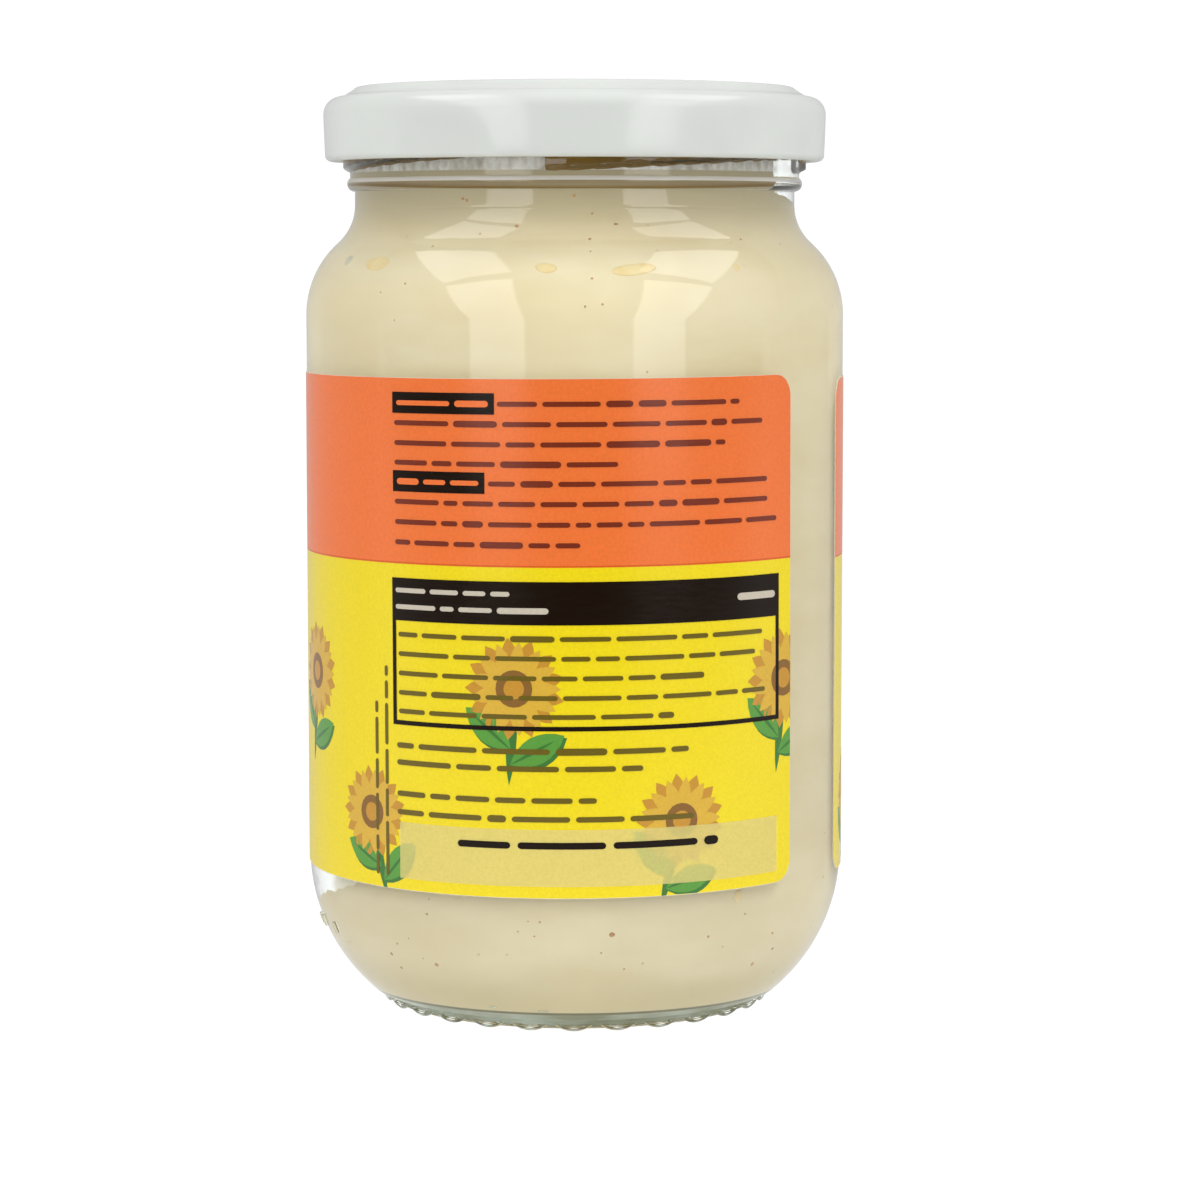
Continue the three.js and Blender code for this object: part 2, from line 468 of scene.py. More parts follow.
class Effects:
    """Effects that several materials share, each a node group made once."""

    def __init__(self) -> None:
        """Makes the groups."""
        self.grain = self.make_grain()
        self.specks = self.make_specks()
        self.ridges = self.make_ridges()

    @staticmethod
    def new_group(name: str, inputs: dict[str, tuple[str, object]], outputs: list[str]) -> bpy.types.NodeTree:
        """Starts a node group.

        Args:
            name: the group's name.
            inputs: each input's socket type and default.
            outputs: the names of its value outputs.

        Returns:
            The group, with its input and output nodes.
        """
        group = bpy.data.node_groups.new(name, "ShaderNodeTree")
        for label, (kind, default) in inputs.items():
            socket = group.interface.new_socket(label, in_out="INPUT", socket_type=kind)
            socket.default_value = default
        for label in outputs:
            group.interface.new_socket(label, in_out="OUTPUT", socket_type="NodeSocketFloat")
        group.nodes.new("NodeGroupInput")
        group.nodes.new("NodeGroupOutput")
        return group

    @staticmethod
    def work_out(group: bpy.types.NodeTree, operation: str, *values: object) -> bpy.types.NodeSocket:
        """Adds one step of arithmetic to a group of nodes.

        Args:
            group: the group, or a whole node tree.
            operation: the step's operation.
            values: what it works on, each a number or a socket.

        Returns:
            The result's socket.
        """
        node = group.nodes.new("ShaderNodeMath")
        node.operation = operation
        for socket, value in zip(node.inputs, values):
            if isinstance(value, bpy.types.NodeSocket):
                group.links.new(value, socket)
            else:
                socket.default_value = value
        return node.outputs["Value"]

    def make_grain(self) -> bpy.types.NodeTree:
        """Makes a soft uneven grain, which can be drawn out along an axis.

        Returns:
            The group.
        """
        group = self.new_group(
            "soft_grain",
            {
                "Scale": ("NodeSocketFloat", 100.0),
                "Detail": ("NodeSocketFloat", 2.0),
                "Stretch": ("NodeSocketVector", (1.0, 1.0, 1.0)),
            },
            ["Height", "Tone"],
        )
        given, out = group.nodes["Group Input"], group.nodes["Group Output"]
        place = group.nodes.new("ShaderNodeTexCoord")
        drawn = group.nodes.new("ShaderNodeVectorMath")
        drawn.operation = "MULTIPLY"
        noise = group.nodes.new("ShaderNodeTexNoise")
        contrast = group.nodes.new("ShaderNodeMapRange")
        contrast.inputs["From Min"].default_value = 0.32
        contrast.inputs["From Max"].default_value = 0.68
        link = group.links.new
        link(place.outputs["Object"], drawn.inputs[0])
        link(given.outputs["Stretch"], drawn.inputs[1])
        link(drawn.outputs["Vector"], noise.inputs["Vector"])
        link(given.outputs["Scale"], noise.inputs["Scale"])
        link(given.outputs["Detail"], noise.inputs["Detail"])
        link(noise.outputs["Fac"], contrast.inputs["Value"])
        link(noise.outputs["Fac"], out.inputs["Height"])
        link(contrast.outputs["Result"], out.inputs["Tone"])
        return group

    def make_specks(self) -> bpy.types.NodeTree:
        """Makes sparse round specks.

        Returns:
            The group.
        """
        group = self.new_group(
            "sparse_specks",
            {
                "Scale": ("NodeSocketFloat", 200.0),
                "Size": ("NodeSocketFloat", 0.1),
                "Share": ("NodeSocketFloat", 0.1),
            },
            ["Mask"],
        )
        given, out = group.nodes["Group Input"], group.nodes["Group Output"]
        place = group.nodes.new("ShaderNodeTexCoord")
        cells = group.nodes.new("ShaderNodeTexVoronoi")
        draw = group.nodes.new("ShaderNodeSeparateColor")
        link = group.links.new
        link(place.outputs["Object"], cells.inputs["Vector"])
        link(given.outputs["Scale"], cells.inputs["Scale"])
        link(cells.outputs["Color"], draw.inputs["Color"])
        near = self.work_out(group, "LESS_THAN", cells.outputs["Distance"], given.outputs["Size"])
        picked = self.work_out(group, "LESS_THAN", draw.outputs["Red"], given.outputs["Share"])
        link(self.work_out(group, "MULTIPLY", near, picked), out.inputs["Mask"])
        return group

    def make_ridges(self) -> bpy.types.NodeTree:
        """Makes a mask of slanting ridges round the jar's axis, which rise to the right.

        Returns:
            The group. Its inputs are in radians and metres.
        """
        group = self.new_group(
            "slanting_ridges",
            {
                "First": ("NodeSocketFloat", 0.0),
                "Pitch": ("NodeSocketFloat", math.pi / 2),
                "Foot": ("NodeSocketFloat", 0.1),
                "Lead": ("NodeSocketFloat", 0.001),
                "Half": ("NodeSocketFloat", 0.001),
            },
            ["Mask"],
        )
        given, out = group.nodes["Group Input"], group.nodes["Group Output"]
        place = group.nodes.new("ShaderNodeTexCoord")
        axes = group.nodes.new("ShaderNodeSeparateXYZ")
        group.links.new(place.outputs["Object"], axes.inputs["Vector"])
        back = self.work_out(group, "MULTIPLY", axes.outputs["Y"], -1.0)
        angle = self.work_out(group, "ARCTAN2", axes.outputs["X"], back)
        angle = self.work_out(group, "SUBTRACT", angle, given.outputs["First"])
        along = self.work_out(group, "WRAP", angle, given.outputs["Pitch"], 0.0)
        middle = self.work_out(group, "MULTIPLY_ADD", along, given.outputs["Lead"], given.outputs["Foot"])
        off = self.work_out(group, "SUBTRACT", axes.outputs["Z"], middle)
        off = self.work_out(group, "ABSOLUTE", off)
        mask = self.work_out(group, "LESS_THAN", off, given.outputs["Half"])
        group.links.new(mask, out.inputs["Mask"])
        return group


# Finishes


@dataclass(frozen=True)
class GlassFinish:
    """Clear flint glass with a faint green cast and a fire-polished, slightly wavy skin."""

    name: str = "jar_glass"
    clear: float = 1.0
    tint: Colour = (0.95, 0.985, 0.962, 1.0)
    lamp_tint: Colour = (0.95, 0.965, 0.955, 1.0)
    ior: float = 1.52
    polish: float = 0.07
    wave_scale: float = 240.0
    wave_height: float = 0.009

    def material(self, effects: Effects) -> bpy.types.Material:
        """Makes the material. Lamps shine through it, so that the contents are lit.

        Args:
            effects: the shared shader effects.

        Returns:
            The material.
        """
        surface = Surface(self.name)
        surface.set(Base_Color=self.tint, Roughness=self.polish, IOR=self.ior, Transmission_Weight=self.clear)
        wave = surface.effect(effects.grain, Scale=self.wave_scale, Detail=1.0, Stretch=(1.0, 1.0, 2.5))
        surface.bump(wave.outputs["Height"], self.wave_height)
        path = surface.add("ShaderNodeLightPath")
        clear = surface.add("ShaderNodeBsdfTransparent", Color=self.lamp_tint)
        mix = surface.add("ShaderNodeMixShader")
        surface.link(path.outputs["Is Shadow Ray"], mix.inputs["Fac"])
        surface.link(surface.shader.outputs["BSDF"], mix.inputs[1])
        surface.link(clear.outputs["BSDF"], mix.inputs[2])
        surface.link(mix.outputs["Shader"], surface.output.inputs["Surface"])
        return surface.material


# A frosted, whitish band on the bead: a painted highlight standing for the bead's silvery reflection line.
BEAD_HIGHLIGHT_SKIN = GlassFinish(
    "painted_bead_highlight", clear=0.45, tint=(0.9, 0.89, 0.86, 1.0), polish=0.35, wave_height=0.04
)


@dataclass(frozen=True)
class EmulsionFinish:
    """Cream-coloured mayonnaise, faintly streaked. Painted shade darkens it at the heel and the neck, and a
    painted greenish grey, standing for shade and reflection of the ground seen through the thick glass floor,
    covers its floor.

    Under the lid it is painted brown shade behind the thread ridges, with a painted silvery reflection
    between them that stands for a film of air.
    """

    cream: Colour = srgb(233, 221, 190)
    deep: Colour = srgb(228, 213, 177)
    # Painted shade: the neck under the lid's overhang, and a band at the bead's top, are painted in this
    # darker tone.
    neck: Colour = srgb(192, 180, 150)
    # Painted shade: brown standing for the mayonnaise in the lid's shadow, at the bead and behind the thread
    # ridges.
    painted_lid_shade: Colour = srgb(138, 108, 52)
    # Painted reflection: a mottled silvery white between the thread ridges, standing for light reflected by
    # an air film behind the neck's glass.
    film: Colour = srgb(246, 244, 240)
    painted_reflection_dark: Colour = srgb(196, 188, 176)
    # Painted shade and reflection: a mottled greenish grey on the floor stands for the ground seen through
    # the thick base glass.
    floor: Colour = srgb(150, 152, 120)
    painted_base_pale: Colour = srgb(204, 212, 197)
    # Painted shade: the mayonnaise is painted darker towards the bottom of the heel, where the wall curves
    # under.
    heel: Colour = srgb(221, 206, 165)
    # Painted shade: a dark line along the top of the painted base band.
    painted_base_line: Colour = srgb(122, 118, 86)
    speck: Colour = srgb(196, 160, 110)
    neck_shade_span: Point = (105.0, 113.0)
    painted_lid_shade_span: Point = (114.1, 114.8)
    bead_shade_span: Point = (114.9, 115.15)
    painted_under_lid_span: Point = (115.85, 116.0)
    heel_shade_span: Point = (10.0, 4.5)
    painted_reflection_scale: float = 900.0
    painted_base_line_span: Point = (3.85, 3.7)
    painted_base_span: Point = (3.5, 3.4)
    streak_scale: float = 60.0
    cloud_scale: float = 130.0
    speck_scale: float = 320.0
    speck_size: float = 0.05
    speck_share: float = 0.1
    roughness: float = 0.6

    def under_lid(self, surface: Surface, effects: Effects, jar: "GlassJar") -> bpy.types.NodeSocket:
        """Colours the stretch under the lid with painted light: brown painted shade behind the thread ridges
        and a silvery painted reflection between them.

        Args:
            surface: the material in the making.
            effects: the shared shader effects.
            jar: the glass, for its thread.

        Returns:
            The colour's socket.
        """
        # The silvery tone between the ridges is a painted reflection, mottled.
        mottle = surface.effect(effects.grain, Scale=self.painted_reflection_scale, Detail=3.0, Stretch=(1.0, 1.0, 0.6))
        film = surface.blend(mottle.outputs["Tone"], self.film, self.painted_reflection_dark)
        ridges = surface.effect(
            effects.ridges,
            First=math.radians(jar.thread_first),
            Pitch=2 * math.pi / jar.thread_starts,
            Foot=(jar.thread_foot + jar.thread_width / 2) * MM,
            Lead=jar.thread_lead / (2 * math.pi) * MM,
            Half=jar.thread_width / 2 * MM,
        )
        return surface.blend(ridges.outputs["Mask"], film, self.painted_lid_shade)

    def material(self, effects: Effects, jar: "GlassJar") -> bpy.types.Material:
        """Makes the material. It lies against glass, so it has no gloss of its own.

        Args:
            effects: the shared shader effects.
            jar: the glass round it.

        Returns:
            The material.
        """
        surface = Surface("mayonnaise_cream")
        streak = surface.effect(effects.grain, Scale=self.streak_scale, Detail=3.0, Stretch=(1.0, 1.0, 3.0))
        colour = surface.blend(streak.outputs["Tone"], self.cream, self.deep)
        specks = surface.effect(
            effects.specks, Scale=self.speck_scale, Size=self.speck_size, Share=self.speck_share
        )
        colour = surface.blend(specks.outputs["Mask"], colour, self.speck)
        under_lid = self.under_lid(surface, effects, jar)
        # Bands of painted shade at the heel, the neck, the bead and under the lid, and the painted reflection
        # under the lid.
        bands = (
            (self.heel_shade_span, self.heel),
            (self.neck_shade_span, self.neck),
            (self.painted_lid_shade_span, self.painted_lid_shade),
            (self.bead_shade_span, self.neck),
            (self.painted_under_lid_span, under_lid),
        )
        for span, tone in bands:
            colour = surface.blend(surface.height_share(*span), colour, tone)
        # Painted shade and reflection of the ground through the thick base glass: a mottled greenish grey on
        # the floor, with a dark line along its top.
        cloud = surface.effect(effects.grain, Scale=self.cloud_scale, Detail=2.0)
        floor = surface.blend(cloud.outputs["Tone"], self.painted_base_pale, self.floor)
        colour = surface.blend(surface.height_share(*self.painted_base_line_span), colour, self.painted_base_line)
        colour = surface.blend(surface.height_share(*self.painted_base_span), colour, floor)
        surface.link(colour, surface.shader.inputs["Base Color"])
        surface.set(Roughness=self.roughness, Specular_IOR_Level=0.0)
        return surface.material


@dataclass(frozen=True)
class LacquerFinish:
    """Glossy white lacquer on tinplate, a little uneven, with a few specks of dust."""

    white: Colour = srgb(227, 231, 226)
    shade: Colour = srgb(222, 225, 221)
    dust: Colour = srgb(140, 132, 122)
    cloud_scale: float = 90.0
    dust_scale: float = 260.0
    dust_size: float = 0.045
    dust_share: float = 0.05
    polish: Point = (0.13, 0.19)
    peel_scale: float = 900.0
    peel_height: float = 0.004

    def material(self, effects: Effects) -> bpy.types.Material:
        """Makes the material.

        Args:
            effects: the shared shader effects.

        Returns:
            The material.
        """
        surface = Surface("lid_lacquer")
        cloud = surface.effect(effects.grain, Scale=self.cloud_scale, Detail=4.0)
        colour = surface.blend(cloud.outputs["Tone"], self.white, self.shade)
        dust = surface.effect(
            effects.specks, Scale=self.dust_scale, Size=self.dust_size, Share=self.dust_share
        )
        colour = surface.blend(dust.outputs["Mask"], colour, self.dust)
        surface.link(colour, surface.shader.inputs["Base Color"])
        surface.link(surface.span(cloud.outputs["Tone"], *self.polish), surface.shader.inputs["Roughness"])
        peel = surface.effect(effects.grain, Scale=self.peel_scale, Detail=2.0)
        surface.bump(peel.outputs["Height"], self.peel_height)
        return surface.material


@dataclass(frozen=True)
class ToneFinish:
    """A finish of two tones, clouded by a soft grain."""

    name: str
    light: Colour
    dark: Colour
    scale: float = 900.0
    roughness: float = 0.5
    gloss: float = 0.0

    def material(self, effects: Effects) -> bpy.types.Material:
        """Makes the material.

        Args:
            effects: the shared shader effects.

        Returns:
            The material.
        """
        surface = Surface(self.name)
        cloud = surface.effect(effects.grain, Scale=self.scale, Detail=3.0)
        colour = surface.blend(cloud.outputs["Tone"], self.light, self.dark)
        surface.link(colour, surface.shader.inputs["Base Color"])
        rough = surface.span(cloud.outputs["Tone"], self.roughness, self.roughness * 1.3)
        surface.link(rough, surface.shader.inputs["Roughness"])
        surface.set(Specular_IOR_Level=self.gloss)
        return surface.material


GOLD_LACQUER = ToneFinish("lid_inner_lacquer", srgb(170, 143, 94), srgb(154, 126, 80), 160.0, 0.3, 0.5)
SPICE = ToneFinish("spice_fleck", srgb(212, 174, 128), srgb(178, 134, 92), 1500.0)
OIL = ToneFinish("oil_pocket", srgb(238, 220, 174), srgb(230, 207, 152), 420.0)
FROTH = ToneFinish("froth_bubble", srgb(212, 206, 186), srgb(202, 197, 178), 700.0)


@dataclass(frozen=True)
class InkFinish:
    """One printed ink, or the bare paper, under the label's semi-gloss varnish."""

    name: str
    colour: Colour
    tone: float = 0.93
    cover: float = 1.0
    screen_scale: float = 2600.0
    gloss: float = 0.4
    polish: Point = (0.18, 0.26)
    fibre_scale: float = 420.0
    fibre_height: float = 0.01

    def material(self, effects: Effects) -> bpy.types.Material:
        """Makes the material: a fine printing screen, and paper grain that shows in the sheen.

        Args:
            effects: the shared shader effects.

        Returns:
            The material.
        """
        surface = Surface(f"label_{self.name}")
        darker = (*(value * self.tone for value in self.colour[:3]), 1.0)
        screen = surface.effect(effects.grain, Scale=self.screen_scale, Detail=1.0)
        colour = surface.blend(screen.outputs["Tone"], self.colour, darker)
        surface.link(colour, surface.shader.inputs["Base Color"])
        fibre = surface.effect(effects.grain, Scale=self.fibre_scale, Detail=3.0, Stretch=(1.0, 1.0, 5.0))
        surface.link(surface.span(fibre.outputs["Tone"], *self.polish), surface.shader.inputs["Roughness"])
        surface.bump(fibre.outputs["Height"], self.fibre_height)
        surface.set(Alpha=self.cover, Specular_IOR_Level=self.gloss)
        return surface.material


class Ink(Enum):
    """The label's inks, with their finishes."""

    PAPER = InkFinish("paper", srgb(244, 236, 214))
    ORANGE = InkFinish("orange", srgb(247, 122, 57))
    RUST = InkFinish("rust", srgb(226, 98, 34))
    YELLOW = InkFinish("yellow", srgb(247, 223, 22))
    BLACK = InkFinish("black", srgb(26, 14, 4), gloss=0.18)
    MAROON = InkFinish("maroon", srgb(122, 46, 24))
    UMBER = InkFinish("umber", srgb(108, 92, 14))
    REVERSED = InkFinish("reversed", srgb(206, 196, 178))
    PALE = InkFinish("pale", srgb(252, 240, 150), cover=0.42)
    LEAF = InkFinish("leaf", srgb(92, 158, 62))
    LEAF_SHADE = InkFinish("leaf_shade", srgb(62, 122, 52))
    PETAL = InkFinish("petal", srgb(224, 180, 60))
    PETAL_SHADE = InkFinish("petal_shade", srgb(204, 148, 48))
    SEED = InkFinish("seed", srgb(140, 98, 40))


# Small things in the wall


@dataclass(frozen=True)
class Spot:
    """Where a small thing lies on a wall, and its size."""

    angle: float
    height: float
    width: float
    tall: float
    lean: float = 0.0


def wall_at(points: list[Point], height: float) -> Point:
    """Finds a wall's radius at a height, and how far the wall faces up there.

    Args:
        points: the wall's half section, from its top down.
        height: the height.

    Returns:
        The radius, and the angle above level in degrees.
    """
    for upper, lower in zip(points, points[1:]):
        if lower[1] <= height <= upper[1]:
            share = (height - lower[1]) / (upper[1] - lower[1])
            facing = math.degrees(math.atan2(lower[0] - upper[0], upper[1] - lower[1]))
            return lower[0] + (upper[0] - lower[0]) * share, facing
    return points[0][0], 0.0


def stand_on_wall(piece: bpy.types.Object, spot: Spot, radius: float, facing: float) -> None:
    """Turns and moves a piece, made at the origin to face the front, to its spot on a wall.

    Args:
        piece: the piece.
        spot: its place.
        radius: the wall's radius there.
        facing: how far the wall faces up there, in degrees.
    """
    piece.rotation_euler = (0, math.radians(spot.lean), 0)
    apply_place(piece)
    piece.rotation_euler = (-math.radians(facing), 0, math.radians(spot.angle))
    piece.location = around(radius, spot.angle, spot.height)
    apply_place(piece)


# Glass jar


@dataclass
class GlassJar:
    """The glass: heel, body, shoulder, neck ring, thread ridges, rim and stippled base."""

    body_radius: float
    rim_height: float
    heel_top: float = 21.0
    heel_arc: float = 25.3
    foot_lift: float = 0.3
    foot_radius: float = 27.0
    foot_height: float = 1.9
    foot_round: float = 0.7
    foot_ledge: float = 0.15
    foot_width: float = 3.2
    push_up: float = 1.9
    push_up_step: float = 1.3
    push_up_edge: tuple[Point, ...] = ((2.5, 0.0), (1.0, 0.45))
    shoulder_start: float = 96.3
    shoulder_arc: float = 13.3
    shoulder_slope: float = 46.0
    neck_radius: float = 30.65
    neck_fillet: float = 7.0
    bead_height: float = 114.4
    bead_arc: float = 1.05
    # Where the bead's painted highlight band lies, as shares of the bead's radius above its middle.
    bead_highlight_band: Point = (0.2, 0.68)
    finish_radius: float = 31.3
    rim_round: float = 1.0
    mouth_radius: float = 28.4
    wall: float = 2.5
    inner_heel_turn: float = 50.0
    heel_rings: float = 8.0
    floor_edge: Point = (25.2, 3.0)
    floor_middle: float = 5.0
    thread_starts: int = 4
    thread_first: float = -7.0
    thread_sweep: float = 84.0
    thread_lead: float = 10.0
    thread_foot: float = 115.7
    thread_width: float = 2.3
    thread_crest: float = 1.0
    thread_rise: float = 0.95
    thread_taper: float = 5.0
    thread_zone: float = 6.0
    seam_turn: float = 4.0
    seam_rise: float = 0.03
    seam_foot: float = 0.7
    seam_top: float = 0.2
    crescents: int = 28
    crescent_arc: float = 3.6
    crescent_cut: float = 0.84
    crescent_ridge: float = 0.42
    crescent_place: Point = (27.6, 3.913)
    crescent_lean: float = 14.0
    stroke_size: tuple[float, float, float] = (0.6, 0.8, 1.7)
    stroke_round: float = 0.2
    stroke_turn: float = 21.0
    stroke_angles: tuple[float, ...] = (-80.0, -76.5, -67.0)
    seed_depth: float = 0.6
    seeds: tuple[Spot, ...] = (
        Spot(-21.6, 11.9, 0.32, 0.28),
        Spot(-14.9, 12.1, 0.3, 0.26),
        Spot(-22.0, 4.2, 1.3, 0.42),
        Spot(-8.2, 3.9, 1.5, 0.4),
        Spot(104.0, 60.0, 0.5, 0.8),
        Spot(171.0, 97.0, 0.4, 0.6),
    )
    steps: int = 240

    def neck_start(self, shoulder_arc: float, neck_radius: float, fillet: float) -> float:
        """Gives the height where the fillet over the shoulder's cone runs into the neck.

        Args:
            shoulder_arc: the shoulder's arc on this side of the wall.
            neck_radius: the neck's radius on this side.
            fillet: the fillet's radius on this side.

        Returns:
            The height.
        """
        slope = math.radians(self.shoulder_slope)
        cone_radius = self.body_radius - self.shoulder_arc + shoulder_arc * math.cos(slope)
        cone_height = self.shoulder_start + shoulder_arc * math.sin(slope)
        fillet_radius = neck_radius + fillet * (1 - math.cos(slope))
        return cone_height + (cone_radius - fillet_radius) / math.tan(slope) + fillet * math.sin(slope)

    def cavity(self, outline: Outline, grow: float) -> Outline:
        """Draws the inside from the mouth down to the middle of the floor.

        Args:
            outline: the outline to go on with.
            grow: how far the line is moved out into the glass.

        Returns:
            The outline.
        """
        shoulder = self.shoulder_arc - self.wall + grow
        neck = self.mouth_radius + grow
        fillet = self.neck_fillet + self.neck_radius - self.mouth_radius - grow
        start = self.neck_start(shoulder, neck, fillet)
        outline.arc((neck + fillet, start), fillet, 180, 180 + self.shoulder_slope)
        shoulder_centre = (self.body_radius - self.shoulder_arc, self.shoulder_start)
        outline.arc(shoulder_centre, shoulder, self.shoulder_slope, 0)
        outline.to(self.body_radius - self.wall + grow, self.heel_top + self.heel_rings)
        outline.climb(self.heel_top, 0.8)
        heel_centre = (self.body_radius - self.heel_arc, self.heel_top)
        outline.arc(heel_centre, self.heel_arc - self.wall + grow, 0, -self.inner_heel_turn, 2.0)
        outline.to(self.floor_edge[0], self.floor_edge[1] - grow)
        return outline.to(0, self.floor_middle - grow)

    def section(self) -> Outline:
        """Draws the whole half section, from the underside round to the inner floor.

        Returns:
            The half section.
        """
        heel_centre = (self.body_radius - self.heel_arc, self.heel_top)
        heel_start = -math.degrees(math.asin((self.heel_top - self.foot_height) / self.heel_arc))
        flat_edge = self.foot_radius - self.foot_round
        flat_start = flat_edge - self.foot_width
        neck_start = self.neck_start(self.shoulder_arc, self.neck_radius, self.neck_fillet)
        bead_end = math.degrees(math.acos((self.finish_radius - self.neck_radius) / self.bead_arc))
        rim_centre = self.rim_height - self.rim_round
        outline = Outline()
        outline.to(0, self.push_up)
        for inwards, drop in self.push_up_edge:
            outline.to(flat_start - inwards, self.push_up_step - drop)
        outline.to(flat_start, self.foot_lift)
        outline.arc((flat_edge, self.foot_lift + self.foot_round), self.foot_round, -90, 0, 15.0)
        outline.to(self.foot_radius, self.foot_height - self.foot_ledge)
        outline.arc(heel_centre, self.heel_arc, heel_start, 0, 2.0)
        shoulder_centre = (self.body_radius - self.shoulder_arc, self.shoulder_start)
        outline.arc(shoulder_centre, self.shoulder_arc, 0, self.shoulder_slope, 2.0)
        fillet_centre = (self.neck_radius + self.neck_fillet, neck_start)
        seam = 180 + self.seam_turn
        outline.arc(fillet_centre, self.neck_fillet, 180 + self.shoulder_slope, seam + self.seam_foot, 3.0)
        crest = self.neck_fillet - self.seam_rise
        outline.arc(fillet_centre, crest, seam + self.seam_top, seam - self.seam_top)
        outline.arc(fillet_centre, self.neck_fillet, seam - self.seam_foot, 180, 3.0)
        outline.arc((self.neck_radius, self.bead_height), self.bead_arc, -90, bead_end, 9.0)
        outline.climb(self.thread_foot + self.thread_zone, 0.2)
        outline.arc((self.finish_radius - self.rim_round, rim_centre), self.rim_round, 0, 90, 15.0)
        outline.arc((self.mouth_radius + self.rim_round, rim_centre), self.rim_round, 90, 180, 15.0)
        return self.cavity(outline, 0.0)

    def thread_share(self, point: Vector) -> float:
        """Gives how much of the thread's rise a point of the neck has, from 0 to 1.

        Args:
            point: a point of the glass, in metres.

        Returns:
            The share.
        """
        height = point.z / MM
        outside = math.hypot(point.x, point.y) / MM > self.finish_radius - 0.05
        if not outside or height < self.thread_foot - 0.5:
            return 0.0
        pitch = 360 / self.thread_starts
        along = ((angle_of(point) - self.thread_first) % pitch) / self.thread_sweep
        if along > 1:
            return 0.0
        middle = self.thread_foot + self.thread_width / 2 + self.thread_lead * along * self.thread_sweep / 360
        taper = min(1.0, math.sin(math.pi * along) * self.thread_taper)
        return taper * (1 - smoothstep(abs(height - middle), self.thread_crest / 2, self.thread_width / 2))

    def crescent(self) -> bpy.types.Object:
        """Models one raised crescent of the base's stippling, at the front of the foot.

        Returns:
            The crescent.
        """
        bpy.ops.object.select_all(action="DESELECT")
        bpy.ops.mesh.primitive_torus_add(
            major_radius=self.crescent_arc * MM,
            minor_radius=self.crescent_ridge * MM,
            major_segments=96,
            minor_segments=10,
        )
        piece = bpy.context.object
        cut = (0, -self.crescent_cut * self.crescent_arc * MM, 0)
        with editing(piece):
            bpy.ops.mesh.bisect(plane_co=cut, plane_no=(0, 1, 0), use_fill=True, clear_outer=True)
        piece.rotation_euler.x = math.radians(90 + self.crescent_lean)
        piece.location = around(self.crescent_place[0], 0, self.crescent_place[1])
        apply_place(piece)
        return piece

    def stroke(self) -> bpy.types.Object:
        """Models one of the plain raised strokes on the heel, at the front.

        Returns:
            The stroke.
        """
        bpy.ops.object.select_all(action="DESELECT")
        bpy.ops.mesh.primitive_cube_add(size=MM)
        piece = bpy.context.object
        piece.scale = self.stroke_size
        apply_place(piece)
        with editing(piece):
            bpy.ops.mesh.bevel(offset=self.stroke_round * MM, segments=3)
        turn_angle = math.radians(self.stroke_turn)
        radius = self.body_radius - self.heel_arc + self.heel_arc * math.cos(turn_angle)
        piece.rotation_euler.x = turn_angle
        piece.location = around(radius, 0, self.heel_top - self.heel_arc * math.sin(turn_angle))
        apply_place(piece)
        return piece

    def seed(self, spot: Spot) -> bpy.types.Object:
        """Models one small air bubble within the wall, its skin facing the air in it.

        Args:
            spot: its place and size.

        Returns:
            The bubble.
        """
        bpy.ops.object.select_all(action="DESELECT")
        bpy.ops.mesh.primitive_uv_sphere_add(segments=16, ring_count=10, radius=MM / 2)
        piece = bpy.context.object
        piece.scale = (spot.width, min(spot.width, spot.tall), spot.tall)
        apply_place(piece)
        with editing(piece):
            bpy.ops.mesh.flip_normals()
        radius, facing = wall_at(self.cavity(Outline(), self.seed_depth).points, spot.height)
        stand_on_wall(piece, spot, radius, facing)
        return piece

    def paint_bead_highlight(self, piece: bpy.types.Object, highlight_skin: bpy.types.Material) -> None:
        """Gives a band along the bead a frosted, whitish skin, a painted highlight for the bead's silvery
        reflection line.

        Args:
            piece: the glass.
            highlight_skin: the painted highlight's material.
        """
        piece.data.materials.append(highlight_skin)
        low, high = (self.bead_height + self.bead_arc * share for share in self.bead_highlight_band)
        for face in piece.data.polygons:
            outside = math.hypot(face.center.x, face.center.y) / MM > self.finish_radius
            if outside and low < face.center.z / MM < high:
                face.material_index = 1

    def build(self, finish: GlassFinish, effects: Effects) -> bpy.types.Object:
        """Makes the glass and dresses it.

        Args:
            finish: the glass.
            effects: the shared shader effects.

        Returns:
            The piece.
        """
        piece = turn("jar_glass", self.section(), self.steps)
        swell(piece, self.thread_rise, self.thread_share)
        even = [i * 360 / self.crescents for i in range(self.crescents)]
        stipple = copies_round(self.crescent(), even)
        strokes = copies_round(self.stroke(), list(self.stroke_angles))
        fuse(piece, join([stipple, strokes]))
        piece = join([piece] + [self.seed(spot) for spot in self.seeds])
        smooth(piece, 35)
        dress(piece, finish.material(effects))
        # The bead's frosted band is a painted highlight.
        self.paint_bead_highlight(piece, BEAD_HIGHLIGHT_SKIN.material(effects))
        settle(piece, "glass_jar")
        return piece


# Contents


@dataclass(frozen=True)
class Slump:
    """A place where the mayonnaise has drawn back from the glass, between two heights.

    Its foot goes down towards the right by the slope, for each degree.
    """

    angle: float
    half: float
    low: float
    high: float
    slope: float
    depth: float
    reach: float


